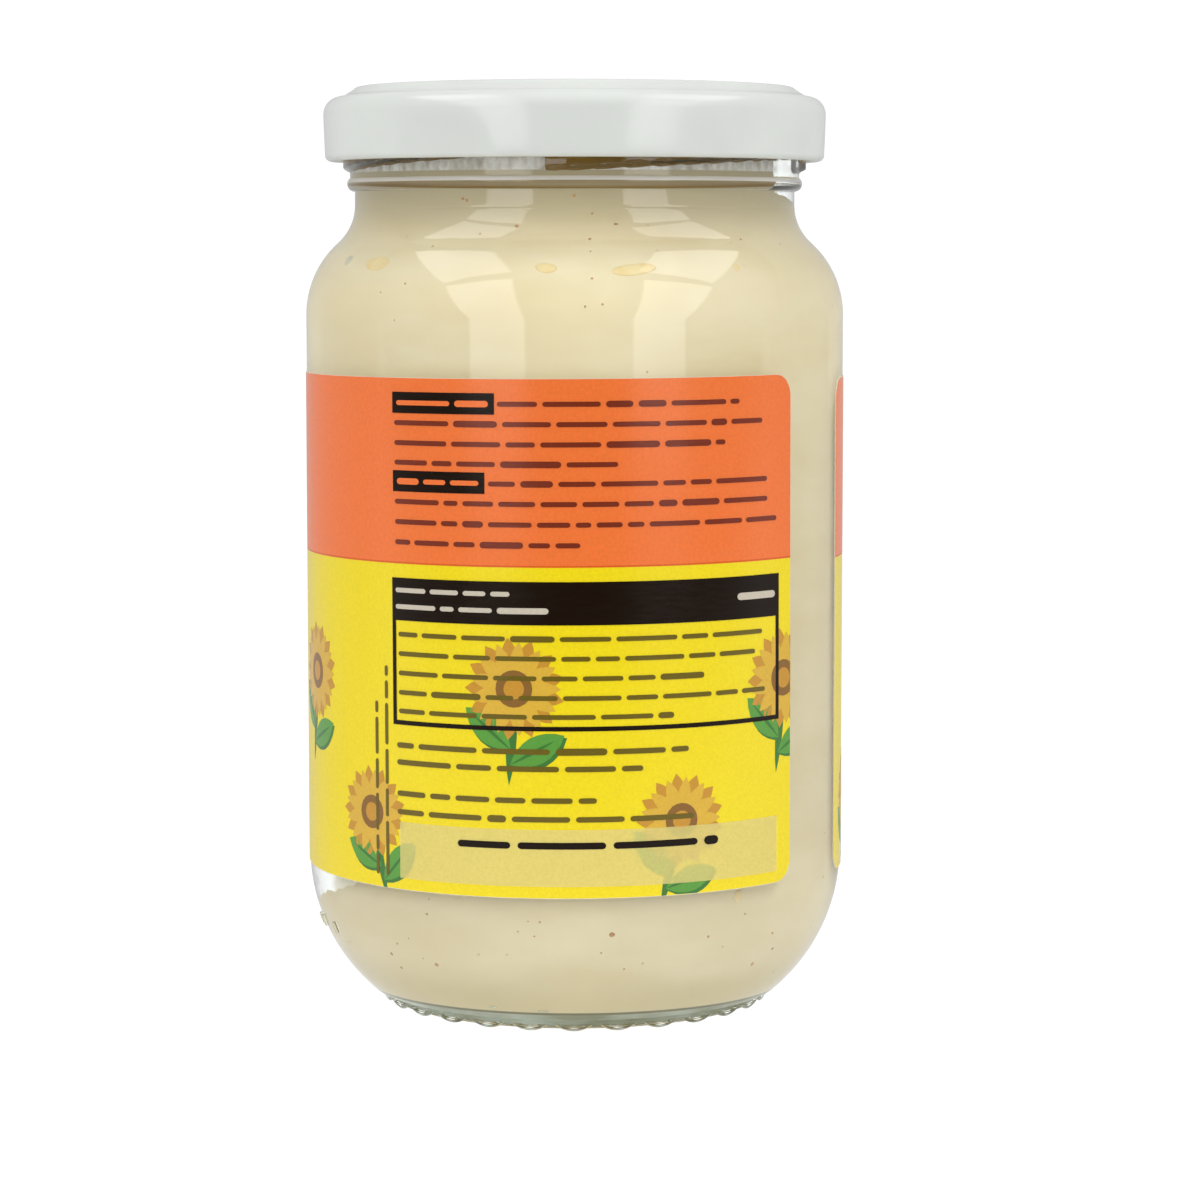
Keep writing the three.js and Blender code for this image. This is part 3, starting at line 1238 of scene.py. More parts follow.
@dataclass
class Mayonnaise:
    """The mayonnaise, which reaches just into the glass so that no air shows between them."""

    jar: GlassJar
    level: float
    dome: float = 1.0
    dome_shape: tuple[Point, ...] = ((14.0, 0.95), (7.0, 0.75), (2.5, 0.35))
    ringed: float = 7.2
    reach: float = 0.06
    slumps: tuple[Slump, ...] = (
        Slump(86.0, 17.0, 114.1, 200.0, 0.07, 1.6, 2.8),
        Slump(-84.0, 28.0, 16.4, 24.0, -0.16, 0.6, 2.4),
    )
    steps: int = 160

    def section(self) -> Outline:
        """Draws its half section, from the middle of its top down to the middle of the floor.

        Returns:
            The half section.
        """
        outline = Outline()
        outline.to(0, self.level + self.dome)
        for inwards, share in self.dome_shape:
            outline.to(self.jar.mouth_radius - inwards, self.level + self.dome * share)
        outline.to(self.jar.mouth_radius + self.reach, self.level)
        outline.climb(self.level - self.ringed, 0.4)
        return self.jar.cavity(outline, self.reach)

    def wall(self, height: float) -> Point:
        """Gives the wall's radius at a height, and how far it faces up there, in degrees."""
        top = Outline([(self.jar.mouth_radius + self.reach, self.level)])
        return wall_at(self.jar.cavity(top, self.reach).points, height)

    def draw_back(self, piece: bpy.types.Object, slump: Slump) -> None:
        """Draws the mayonnaise back from the glass at one place.

        Args:
            piece: the mayonnaise.
            slump: the place.
        """
        def in_slump(point: Vector) -> bool:
            """Says whether a point moves the whole way.

            Args:
                point: the point, in metres.

            Returns:
                Whether it does.
            """
            off = angle_of(point) - slump.angle
            edge = math.hypot(point.x, point.y) / MM > self.jar.mouth_radius
            within = slump.low - slump.slope * off < point.z / MM < slump.high
            return abs(off) < slump.half and edge and within

        press_in(piece, around(-slump.depth, slump.angle, 0), slump.reach, in_slump)

    def build(self, finish: EmulsionFinish, effects: Effects) -> bpy.types.Object:
        """Makes the mayonnaise and dresses it.

        Args:
            finish: the mayonnaise's own finish.
            effects: the shared shader effects.

        Returns:
            The piece.
        """
        piece = turn("mayonnaise_fill", self.section(), self.steps)
        for slump in self.slumps:
            self.draw_back(piece, slump)
        smooth(piece, 35)
        dress(piece, finish.material(effects, self.jar))
        settle(piece, "mayonnaise")
        return piece


@dataclass
class Inclusions:
    """What shows in the mayonnaise at the glass: spice flecks, oil pockets and froth bubbles."""

    fill: Mayonnaise
    pockets: tuple[Spot, ...] = (
        Spot(-50.6, 102.7, 4.6, 1.9, 3.0),
        Spot(-6.0, 102.5, 2.8, 1.4, 12.0),
        Spot(13.6, 102.3, 5.9, 1.6, -4.0),
        Spot(39.3, 102.4, 0.9, 1.0),
        Spot(37.9, 18.9, 1.3, 1.7),
        Spot(128.0, 101.0, 3.4, 1.5, -8.0),
        Spot(-142.0, 103.0, 4.0, 1.5, 6.0),
    )
    bubbles: tuple[Spot, ...] = (Spot(-63.5, 102.9, 1.7, 1.4), Spot(155.0, 100.5, 1.2, 1.1))
    flecks: tuple[Spot, ...] = (
        Spot(-30.1, 112.1, 0.42, 0.42), Spot(-28.9, 111.9, 0.36, 0.42), Spot(-24.0, 106.9, 0.4, 0.4),
        Spot(-14.5, 108.1, 0.5, 0.55), Spot(0.2, 112.5, 0.4, 0.4), Spot(4.9, 110.0, 0.3, 0.3),
        Spot(4.1, 106.1, 0.42, 0.42), Spot(11.0, 108.4, 0.6, 0.36), Spot(4.1, 101.3, 0.3, 0.3),
        Spot(45.8, 105.8, 0.34, 0.36), Spot(8.4, 15.0, 0.75, 0.7), Spot(-47.3, 10.5, 0.42, 0.5),
        Spot(-45.9, 8.7, 0.42, 0.42), Spot(-33.8, 9.9, 0.6, 0.6), Spot(-7.2, 16.7, 0.28, 0.34),
        Spot(-33.5, 16.8, 0.4, 0.3), Spot(31.1, 13.9, 0.36, 0.36), Spot(47.4, 9.1, 0.6, 0.6),
        Spot(52.8, 10.8, 0.4, 0.4), Spot(50.6, 13.1, 0.36, 0.36), Spot(40.3, 16.4, 0.3, 0.3),
    )
    scattered: int = 110
    bands: tuple[Point, ...] = ((5.5, 20.0), (20.0, 88.0), (88.0, 111.0))
    scattered_size: Point = (0.14, 0.28)
    scattered_shape: Point = (0.8, 1.3)
    uneven: Point = (0.75, 1.15)
    fleck_thick: float = 0.22
    oil_thick: float = 0.32
    froth_thick: float = 0.3
    sink: float = 0.05
    seed: int = 3

    def scatter(self) -> list[Spot]:
        """Draws the places of the finer flecks all round the jar.

        Returns:
            The places and sizes.
        """
        draw = random.Random(self.seed)
        spots = []
        for i in range(self.scattered):
            low, high = self.bands[i % len(self.bands)]
            size = draw.uniform(*self.scattered_size)
            angle, height = draw.uniform(-180, 180), draw.uniform(low, high)
            spots.append(Spot(angle, height, size, size * draw.uniform(*self.scattered_shape)))
        return spots

    def fleck_mesh(self, effects: Effects) -> bpy.types.Object:
        """Makes all the flecks as one mesh of small uneven grains.

        Args:
            effects: the shared shader effects.

        Returns:
            The piece.
        """
        draw = random.Random(self.seed + 1)
        bpy.ops.object.select_all(action="DESELECT")
        bpy.ops.mesh.primitive_ico_sphere_add(subdivisions=2, radius=0.5)
        grain = bpy.context.object
        corners = [vertex.co.copy() for vertex in grain.data.vertices]
        sides = [tuple(face.vertices) for face in grain.data.polygons]
        bpy.data.objects.remove(grain)
        points: list[Vector] = []
        faces: list[tuple[int, ...]] = []
        for spot in [*self.flecks, *self.scatter()]:
            radius, facing = self.fill.wall(spot.height)
            tilt = Matrix.Rotation(-math.radians(facing), 3, "X")
            lie = Matrix.Rotation(math.radians(spot.angle), 3, "Z") @ tilt
            size = Vector((spot.width, self.fleck_thick, spot.tall))
            middle = around(radius + self.sink, spot.angle, spot.height)
            first = len(points)
            faces.extend(tuple(first + i for i in side) for side in sides)
            for corner in corners:
                swollen = corner * draw.uniform(*self.uneven)
                points.append(middle + lie @ (swollen * size) * MM)
        mesh = bpy.data.meshes.new("spice_flecks")
        mesh.from_pydata(points, [], faces)
        piece = bpy.data.objects.new("spice_flecks", mesh)
        bpy.context.collection.objects.link(piece)
        dress(piece, SPICE.material(effects))
        return piece

    def lens(self, name: str, spot: Spot, thick: float) -> bpy.types.Object:
        """Models one flat pocket against the glass, fuller towards one end.

        Args:
            name: its name.
            spot: its place and size.
            thick: how thick it is.

        Returns:
            The pocket.
        """
        bpy.ops.object.select_all(action="DESELECT")
        bpy.ops.mesh.primitive_uv_sphere_add(segments=32, ring_count=16, radius=MM / 2)
        piece = bpy.context.object
        piece.name = piece.data.name = name
        piece.scale = (spot.width, thick, spot.tall)
        apply_place(piece)
        tip = spot.width * 0.42 * MM
        lift = Vector((0, 0, spot.tall * 0.12 * MM))
        press_in(piece, lift, spot.width * 0.5, lambda point: point.x > tip)
        radius, facing = self.fill.wall(spot.height)
        stand_on_wall(piece, spot, radius, facing)
        smooth(piece, 60)
        return piece

    def build(self, effects: Effects) -> None:
        """Makes the flecks, the oil pockets and the bubbles, and dresses them.

        Args:
            effects: the shared shader effects.
        """
        flecks = self.fleck_mesh(effects)
        oil = join([self.lens("oil_pockets", spot, self.oil_thick) for spot in self.pockets])
        dress(oil, OIL.material(effects))
        froth = join([self.lens("froth_bubbles", spot, self.froth_thick) for spot in self.bubbles])
        dress(froth, FROTH.material(effects))
        for piece in (flecks, oil, froth):
            settle(piece)


# Lid


@dataclass
class LugLid:
    """The white lug lid: curl, skirt, shoulder, raised ring, panel, button and pressed-in lugs."""

    radius: float
    bottom: float
    top: float
    rim_height: float
    skirt_top: float = 124.0
    shoulder_arc: float = 2.4
    shoulder_turn: float = 78.0
    sheet: float = 0.45
    draft: float = 0.2
    draft_steps: tuple[Point, ...] = ((0.75, 2.0), (0.5, 3.2), (0.2, 4.8))
    headroom: float = 0.3
    curl_arc: float = 0.85
    ring_radius: float = 30.0
    ring_arc: float = 1.0
    valley: Point = (32.3, 126.42)
    panel_radius: float = 28.6
    panel_height: float = 127.3
    button_radius: float = 11.0
    button_edge: float = 0.5
    button_drop: float = 0.25
    lugs: int = 4
    lug_first: float = -29.0
    lug_half: float = 6.0
    lug_press: float = 0.45
    lug_reach: float = 4.5
    lug_height: float = 1.6
    steps: int = 240

    def section(self) -> Outline:
        """Draws the half section, from the middle of the underside round to the middle of the top.

        Returns:
            The half section.
        """
        underside = self.rim_height + self.headroom
        shoulder = (self.radius - self.shoulder_arc, self.skirt_top)
        curl = (self.radius - self.draft - self.curl_arc, self.bottom + self.curl_arc)
        ring = (self.ring_radius, self.top - self.ring_arc)
        outline = Outline()
        outline.to(0, underside - self.button_drop)
        outline.to(self.button_radius - 0.9, underside - self.button_drop)
        outline.to(self.button_radius, underside)
        outline.to(self.ring_radius + 1.4, underside)
        outline.arc(shoulder, self.shoulder_arc - self.sheet, self.shoulder_turn, 0, 6.0)
        outline.climb(self.bottom + 2 * self.curl_arc, 0.5)
        outline.arc(curl, self.curl_arc, 90, 360, 12.0)
        for share, height in self.draft_steps:
            outline.to(self.radius - self.draft * share, self.bottom + height)
        outline.arc(shoulder, self.shoulder_arc, 0, self.shoulder_turn, 5.0)
        outline.to(*self.valley)
        outline.arc(ring, self.ring_arc, 40, 120, 8.0)
        outline.to(self.panel_radius, self.panel_height)
        outline.to(self.button_radius + self.button_edge, self.panel_height)
        outline.to(self.button_radius - self.button_edge, self.panel_height - self.button_drop)
        return outline.to(0, self.panel_height - self.button_drop * 1.4)

    def press_lugs(self, piece: bpy.types.Object) -> None:
        """Presses the curl in at each lug."""
        for i in range(self.lugs):
            middle = self.lug_first + i * 360 / self.lugs
            inwards = around(-self.lug_press, middle, 0)

            def in_lug(point: Vector) -> bool:
                """Says whether a point belongs to this lug.

                Args:
                    point: the point, in metres.

                Returns:
                    Whether it does.
                """
                off = (angle_of(point) - middle + 180) % 360 - 180
                low = point.z / MM < self.bottom + self.lug_height * self.curl_arc
                return low and abs(off) < self.lug_half

            press_in(piece, inwards, self.lug_reach, in_lug)

    def line_inside(self, piece: bpy.types.Object, lining: bpy.types.Material) -> None:
        """Gives the faces inside the lid, above the curl, their own lacquer.

        Args:
            piece: the lid.
            lining: the inner lacquer.
        """
        piece.data.materials.append(lining)
        for face in piece.data.polygons:
            outwards = face.normal.x * face.center.x + face.normal.y * face.center.y
            above_curl = face.center.z / MM > self.bottom + 2 * self.curl_arc
            if above_curl and (face.normal.z < -0.3 or outwards < -0.1 * MM):
                face.material_index = 1 if face.center.z / MM < self.rim_height + 0.4 else 0

    def build(self, finish: LacquerFinish, effects: Effects) -> bpy.types.Object:
        """Makes the lid and dresses it.

        Args:
            finish: the lacquer.
            effects: the shared shader effects.

        Returns:
            The piece.
        """
        piece = turn("lug_lid", self.section(), self.steps)
        self.press_lugs(piece)
        smooth(piece, 32)
        dress(piece, finish.material(effects))
        self.line_inside(piece, GOLD_LACQUER.material(effects))
        settle(piece, "lid")
        return piece


# Label


@dataclass(frozen=True)
class TextRow:
    """A row of plain bars that stands for a line of print."""

    left: float
    right: float
    base: float
    size: float = 1.35
    ink: Ink = Ink.UMBER
    upright: bool = False
    bar: float = 0.48
    bold: float = 0.15
    bold_bar: float = 1.3
    word: Point = (1.5, 6.5)
    blank: float = 0.5


@dataclass
class Artwork:
    """Flat print shapes, laid out along the label and up it, in layers of ink."""

    layer_pitch: float
    ground: float
    shapes: list[tuple[Ink, int, list[Point]]] = field(default_factory=list)

    def polygon(self, ink: Ink, layer: int, points: list[Point]) -> None:
        """Adds one shape, its points running anticlockwise."""
        self.shapes.append((ink, layer, points))

    def box(self, ink: Ink, layer: int, left: float, bottom: float, right: float, top: float) -> None:
        """Adds an upright rectangle."""
        self.polygon(ink, layer, [(left, bottom), (right, bottom), (right, top), (left, top)])

    def frame(self, ink: Ink, layer: int, low: Point, high: Point, line: float) -> None:
        """Adds a rectangular line frame, open at the top.

        Args:
            ink: its ink.
            layer: its layer.
            low, high: its outer corners.
            line: the line's width.
        """
        self.box(ink, layer, low[0], low[1], low[0] + line, high[1])
        self.box(ink, layer, high[0] - line, low[1], high[0], high[1])
        self.box(ink, layer, low[0] + line, low[1], high[0] - line, low[1] + line)

    def lens(self, ink: Ink, layer: int, foot: Point, angle: float, length: float, width: float) -> None:
        """Adds a pointed leaf or petal.

        Args:
            ink: its ink.
            layer: its layer.
            foot: where it starts.
            angle: which way it points, in degrees from right towards up.
            length, width: its size.
        """
        steps = 8
        lower = [(i / steps, -math.sin(math.pi * i / steps) ** 0.8) for i in range(steps + 1)]
        upper = [(along, -side) for along, side in reversed(lower[1:-1])]
        turn_cos, turn_sin = math.cos(math.radians(angle)), math.sin(math.radians(angle))
        points = []
        for along, side in lower + upper:
            x, y = along * length, side * width / 2
            points.append((foot[0] + x * turn_cos - y * turn_sin, foot[1] + x * turn_sin + y * turn_cos))
        self.polygon(ink, layer, points)

    def disc(self, ink: Ink, layer: int, centre: Point, radius: float) -> None:
        """Adds a round spot.

        Args:
            ink: its ink.
            layer: its layer.
            centre: its middle.
            radius: its radius.
        """
        count = 20
        turns = [2 * math.pi * i / count for i in range(count)]
        rim = [(centre[0] + radius * math.cos(t), centre[1] + radius * math.sin(t)) for t in turns]
        self.polygon(ink, layer, rim)

    def bar(self, row: TextRow, layer: int, start: float, end: float, height: float) -> None:
        """Adds one bar of a row, with round ends.

        Args:
            row: the row it belongs to.
            layer: its layer.
            start, end: where it lies along the row.
            height: how tall it is.
        """
        half = height / 2
        points = []
        for centre, first in ((end - half, -90), (start + half, 90)):
            for step in range(5):
                angle = math.radians(first + 45 * step)
                points.append((centre + half * math.cos(angle), row.size / 2 + half * math.sin(angle)))
        if row.upright:
            self.polygon(row.ink, layer, [(row.base - up, along) for along, up in points])
        else:
            self.polygon(row.ink, layer, [(along, row.base + up) for along, up in points])

    def row(self, row: TextRow, layer: int, draw: random.Random) -> None:
        """Adds a row of bars as long as words.

        Args:
            row: where it goes, its ink and its weight.
            layer: its layer.
            draw: the seeded source of the bars' lengths.
        """
        along = row.left
        while along < row.right - row.size:
            height = row.size * row.bar * (row.bold_bar if draw.random() < row.bold else 1.0)
            end = min(row.right, along + row.size * draw.uniform(*row.word))
            if end - along > 1.1 * height:
                self.bar(row, layer, along, end, height)
            along = end + row.size * row.blank

    def mesh(self, name: str, materials: dict[Ink, bpy.types.Material]) -> bpy.types.Object:
        """Makes one flat mesh of all the shapes.

        Args:
            name: the mesh's name.
            materials: each ink's material.

        Returns:
            The new object, lying flat with its print upwards.
        """
        inks = list(materials)
        points: list[Vector] = []
        faces: list[list[int]] = []
        for _, layer, outline in self.shapes:
            height = self.ground + layer * self.layer_pitch
            faces.append(list(range(len(points), len(points) + len(outline))))
            points.extend(Vector((x, y, height)) * MM for x, y in outline)
        mesh = bpy.data.meshes.new(name)
        mesh.from_pydata(points, [], faces)
        for ink in inks:
            mesh.materials.append(materials[ink])
        for face, (ink, _, _) in zip(mesh.polygons, self.shapes):
            face.material_index = inks.index(ink)
        piece = bpy.data.objects.new(name, mesh)
        bpy.context.collection.objects.link(piece)
        return piece


@dataclass
class WrapLabel:
    """The paper label: printed flat, cut, and rolled round the body with a gap between its ends."""

    radius: float
    bottom: float = 20.1
    top: float = 88.7
    start_angle: float = 73.4 - 360
    end_angle: float = 51.3
    corner: float = 3.0
    paper: float = 0.12
    sunk: float = 0.02
    rim: float = 0.05
    field_edge: float = 64.1
    edge_line: float = 0.12
    skew: float = math.degrees(0.005)
    column: float = 1.5
    layer: float = 0.01
    motif_layers: int = 5
    motif_spacing: float = 19.0
    motif_first: float = 8.0
    stem: float = 14.0
    petals: int = 13
    block: Point = (-25.2, 30.6)
    plate: Point = (31.0, 15.0)
    plate_height: float = 62.5
    plate_line: float = 0.8
    seed: int = 7

    @property
    def left(self) -> float:
        """The left end, as a length round the jar from the front."""
        return math.radians(self.start_angle) * self.radius

    @property
    def right(self) -> float:
        """The right end, as a length round the jar from the front."""
        return math.radians(self.end_angle) * self.radius

    def cut_columns(self, piece: bpy.types.Object) -> None:
        """Cuts a flat piece into columns, so that it can be rolled."""
        with editing(piece):
            for i in range(math.ceil(self.left / self.column), math.floor(self.right / self.column) + 1):
                bpy.ops.mesh.select_all(action="SELECT")
                bpy.ops.mesh.bisect(plane_co=(i * self.column * MM, 0, 0), plane_no=(1, 0, 0))

    def sheet(self, materials: dict[Ink, bpy.types.Material]) -> bpy.types.Object:
        """Cuts the paper with its two printed fields and a bare rim.

        Args:
            materials: each ink's material.

        Returns:
            The sheet, lying flat.
        """
        bpy.ops.object.select_all(action="DESELECT")
        bpy.ops.mesh.primitive_plane_add(size=1)
        piece = bpy.context.object
        piece.name = piece.data.name = "wrap_label"
        piece.scale = ((self.right - self.left) * MM, (self.top - self.bottom) * MM, 1)
        middle = ((self.left + self.right) / 2, (self.top + self.bottom) / 2, self.paper)
        piece.location = Vector(middle) * MM
        apply_place(piece)
        with editing(piece):
            bpy.ops.mesh.bevel(affect="VERTICES", offset=self.corner * MM, segments=8)
            bpy.ops.mesh.select_all(action="SELECT")
            bpy.ops.mesh.inset(thickness=self.rim * MM)
            bpy.ops.mesh.select_all(action="SELECT")
            bpy.ops.mesh.bisect(plane_co=(0, self.field_edge * MM, 0), plane_no=(0, 1, 0))
        for ink in materials:
            piece.data.materials.append(materials[ink])
        inks = list(materials)
        for face in piece.data.polygons:
            ink = Ink.PAPER
            if len(face.vertices) > 4:
                ink = Ink.ORANGE if face.center.y > self.field_edge * MM else Ink.YELLOW
            face.material_index = inks.index(ink)
        self.cut_columns(piece)
        apply_modifier(
            piece,
            "SOLIDIFY",
            thickness=(self.paper + self.sunk) * MM,
            offset=-1.0,
            material_offset_rim=-len(inks),
            material_offset=-len(inks),
        )
        return piece

    def bloom(self, art: Artwork, foot: Point, lean: float, size: float) -> None:
        """Draws a flower with a stem and two leaves.

        Args:
            art: the artwork to draw in.
            foot: the stem's foot.
            lean: which way the stem points, in degrees from right towards up.
            size: the flower's scale.
        """
        cos, sin = math.cos(math.radians(lean)), math.sin(math.radians(lean))
        stem = self.stem * size
        head = (foot[0] + stem * cos, foot[1] + stem * sin)
        art.lens(Ink.LEAF_SHADE, 1, foot, lean, stem, 1.6 * size)
        for side, reach in ((-58, 3.0), (52, 5.2)):
            joint = (foot[0] + reach * size * cos, foot[1] + reach * size * sin)
            shade = (joint[0] + 0.35, joint[1] - 0.35)
            art.lens(Ink.LEAF_SHADE, 1, shade, lean + side, 9 * size, 4.2 * size)
            art.lens(Ink.LEAF, 2, joint, lean + side, 9 * size, 4.0 * size)
            art.lens(Ink.LEAF_SHADE, 3, joint, lean + side, 7.5 * size, 0.5 * size)
        for i in range(self.petals):
            angle = 360 * i / self.petals
            art.lens(Ink.PETAL_SHADE, 2, head, angle + 180 / self.petals, 7.4 * size, 2.9 * size)
            art.lens(Ink.PETAL, 3, head, angle, 6.8 * size, 2.3 * size)
        art.disc(Ink.SEED, 4, head, 2.7 * size)
        art.disc(Ink.PETAL_SHADE, 5, head, 1.5 * size)

    def motifs(self) -> Artwork:
        """Draws a row of flowers along the yellow field.

        Returns:
            The artwork.
        """
        art = Artwork(self.layer, self.paper)
        draw = random.Random(self.seed)
        count = int((self.right - self.left) / self.motif_spacing)
        for i in range(count + 1):
            x = self.left + self.motif_first + i * self.motif_spacing + draw.uniform(-1.5, 1.5)
            tall = i % 2
            foot = (x, self.bottom + (15 if tall else -1.5))
            self.bloom(art, foot, 90 + draw.uniform(-16, 16), 0.92 if tall else 0.85)
        return art

    def small_print(self) -> Artwork:
        """Draws the boxes, the ruled table and the rows of bars that stand for print.

        Returns:
            The artwork.
        """
        art = Artwork(self.layer, self.paper)
        draw = random.Random(self.seed + 1)
        base = self.motif_layers + 1
        left, right = self.block
        line = (self.field_edge - self.edge_line, self.field_edge + self.edge_line)
        art.box(Ink.RUST, 1, self.left + self.rim, line[0], self.right - self.rim, line[1])
        for top, width in ((86.8, 15.2), (76.4, 13.8)):
            art.box(Ink.BLACK, base, left - 0.3, top - 2.8, left + width, top)
            art.row(TextRow(left + 0.4, left + width - 0.8, top - 2.1, 1.35, Ink.ORANGE), base + 1, draw)
        paragraph = (
            (-9.6, 23.8, 84.7), (left, 29.6, 82.05), (left, 21.5, 79.4), (left, 7.0, 76.8),
            (-10.9, 30.3, 74.25), (left, 30.3, 71.6), (left, 30.5, 68.9), (left, 1.3, 66.2),
        )
        for start, end, height in paragraph:
            art.row(TextRow(start, end, height, 1.35, Ink.MAROON), base, draw)
        art.box(Ink.BLACK, base, left - 0.6, 56.4, right + 0.4, 62.1)
        art.frame(Ink.BLACK, base, (left - 0.6, 42.4), (right + 0.4, 56.4), 0.6)
        art.row(TextRow(left, -6.4, 59.8, 1.3, Ink.REVERSED), base + 1, draw)
        art.row(TextRow(left, -2.9, 57.6, 1.3, Ink.REVERSED), base + 1, draw)
        art.row(TextRow(23.4, 30.2, 58.4, 2.0, Ink.REVERSED), base + 1, draw)
        table = ((29.6, 53.9), (28.0, 51.3), (18.2, 48.7), (28.3, 46.1), (13.8, 43.6))
        for end, height in table:
            art.row(TextRow(left + 0.4, end, height, 1.3), base, draw)
        lower = ((16.5, 38.9), (9.5, 36.6), (3.3, 32.4), (18.4, 29.9))
        for end, height in lower:
            art.row(TextRow(left, end, height, 1.5), base, draw)
        art.box(Ink.PALE, base, left + 0.4, 21.7, right, 29.3)
        art.row(TextRow(-15.6, 20.3, 26.2, 1.9, Ink.BLACK), base + 1, draw)
        for column, top in ((-28.4, 45.3), (-26.5, 50.2)):
            art.row(TextRow(21.8, top, column, 1.15, Ink.UMBER, upright=True), base, draw)
        return art

    def face_print(self, art: Artwork) -> None:
        """Draws the label's main face, on the far side: a bare name plate with a ruled edge.

        Args:
            art: the artwork to draw in.
        """
        base = self.motif_layers + 1
        middle = math.radians(-180) * self.radius
        for ink, layer, inset in ((Ink.BLACK, base, 0.0), (Ink.PAPER, base + 1, self.plate_line)):
            wide, tall = (half - inset for half in self.plate)
            low, high = self.plate_height - tall, self.plate_height + tall
            art.box(ink, layer, middle - wide, low, middle + wide, high)

    def print_film(self, materials: dict[Ink, bpy.types.Material]) -> bpy.types.Object:
        """Makes the ink films that lie on the sheet.

        Args:
            materials: each ink's material.

        Returns:
            The films, lying flat.
        """
        flowers = self.motifs().mesh("flower_print", materials)
        cuts = (
            ((0, self.field_edge - 0.2, 0), (0, 1, 0)),
            ((0, self.bottom + self.rim, 0), (0, -1, 0)),
            ((self.left + self.rim, 0, 0), (-1, 0, 0)),
            ((self.right - self.rim, 0, 0), (1, 0, 0)),
        )
        for place, outwards in cuts:
            with editing(flowers):
                bpy.ops.mesh.bisect(plane_co=Vector(place) * MM, plane_no=outwards, clear_outer=True)
        art = self.small_print()
        self.face_print(art)
        film = join([flowers, art.mesh("small_print", materials)])
        self.cut_columns(film)
        apply_modifier(film, "SOLIDIFY", thickness=self.layer * MM, offset=-1.0)
        return film

    def roll(self, piece: bpy.types.Object) -> None:
        """Stands the flat label up, sets it a little askew and rolls it round the jar.

        Args:
            piece: the label.
        """
        piece.rotation_euler = (math.pi / 2, 0, 0)
        apply_place(piece)
        piece.rotation_euler = (0, -math.radians(self.skew), 0)
        apply_place(piece)
        reach = [vertex.co.x for vertex in piece.data.vertices]
        apply_modifier(
            piece,
            "SIMPLE_DEFORM",
            deform_method="BEND",
            deform_axis="Z",
            angle=(max(reach) - min(reach)) / (self.radius * MM),
        )
        piece.location = (0, -self.radius * MM, 0)
        apply_place(piece)

    def build(self, effects: Effects) -> bpy.types.Object:
        """Makes the label and dresses it.

        Args:
            effects: the shared shader effects.

        Returns:
            The piece.
        """
        materials = {ink: ink.value.material(effects) for ink in Ink}
        piece = join([self.sheet(materials), self.print_film(materials)])
        self.roll(piece)
        smooth(piece, 30)
        settle(piece, "label")
        return piece


# Studio


@dataclass(frozen=True)
class SoftBox:
    """A soft lamp: a rectangle of even brightness that faces the jar."""

    name: str
    centre: tuple[float, float, float]
    across: tuple[float, float, float]
    up: tuple[float, float, float]
    width: float
    height: float
    brightness: float = 2.4

    def build(self) -> bpy.types.Object:
        """Makes the lamp. Its places and sizes are in metres.

        Returns:
            The lamp.
        """
        lamp = bpy.data.lights.new(self.name, "AREA")
        lamp.shape = "RECTANGLE"
        lamp.size = self.width
        lamp.size_y = self.height
        lamp.energy = self.brightness * math.pi * self.width * self.height
        across = Vector(self.across).normalized()
        up = Vector(self.up)
        up = (up - across * up.dot(across)).normalized()
        facing = across.cross(up)
        if facing.dot(Vector(self.centre)) < 0:
            across, facing = -across, -facing
        piece = bpy.data.objects.new(self.name, lamp)
        turned = Matrix((across, up, facing)).transposed().to_4x4()
        piece.matrix_world = Matrix.Translation(self.centre) @ turned
        piece.visible_camera = False
        bpy.context.collection.objects.link(piece)
        return piece


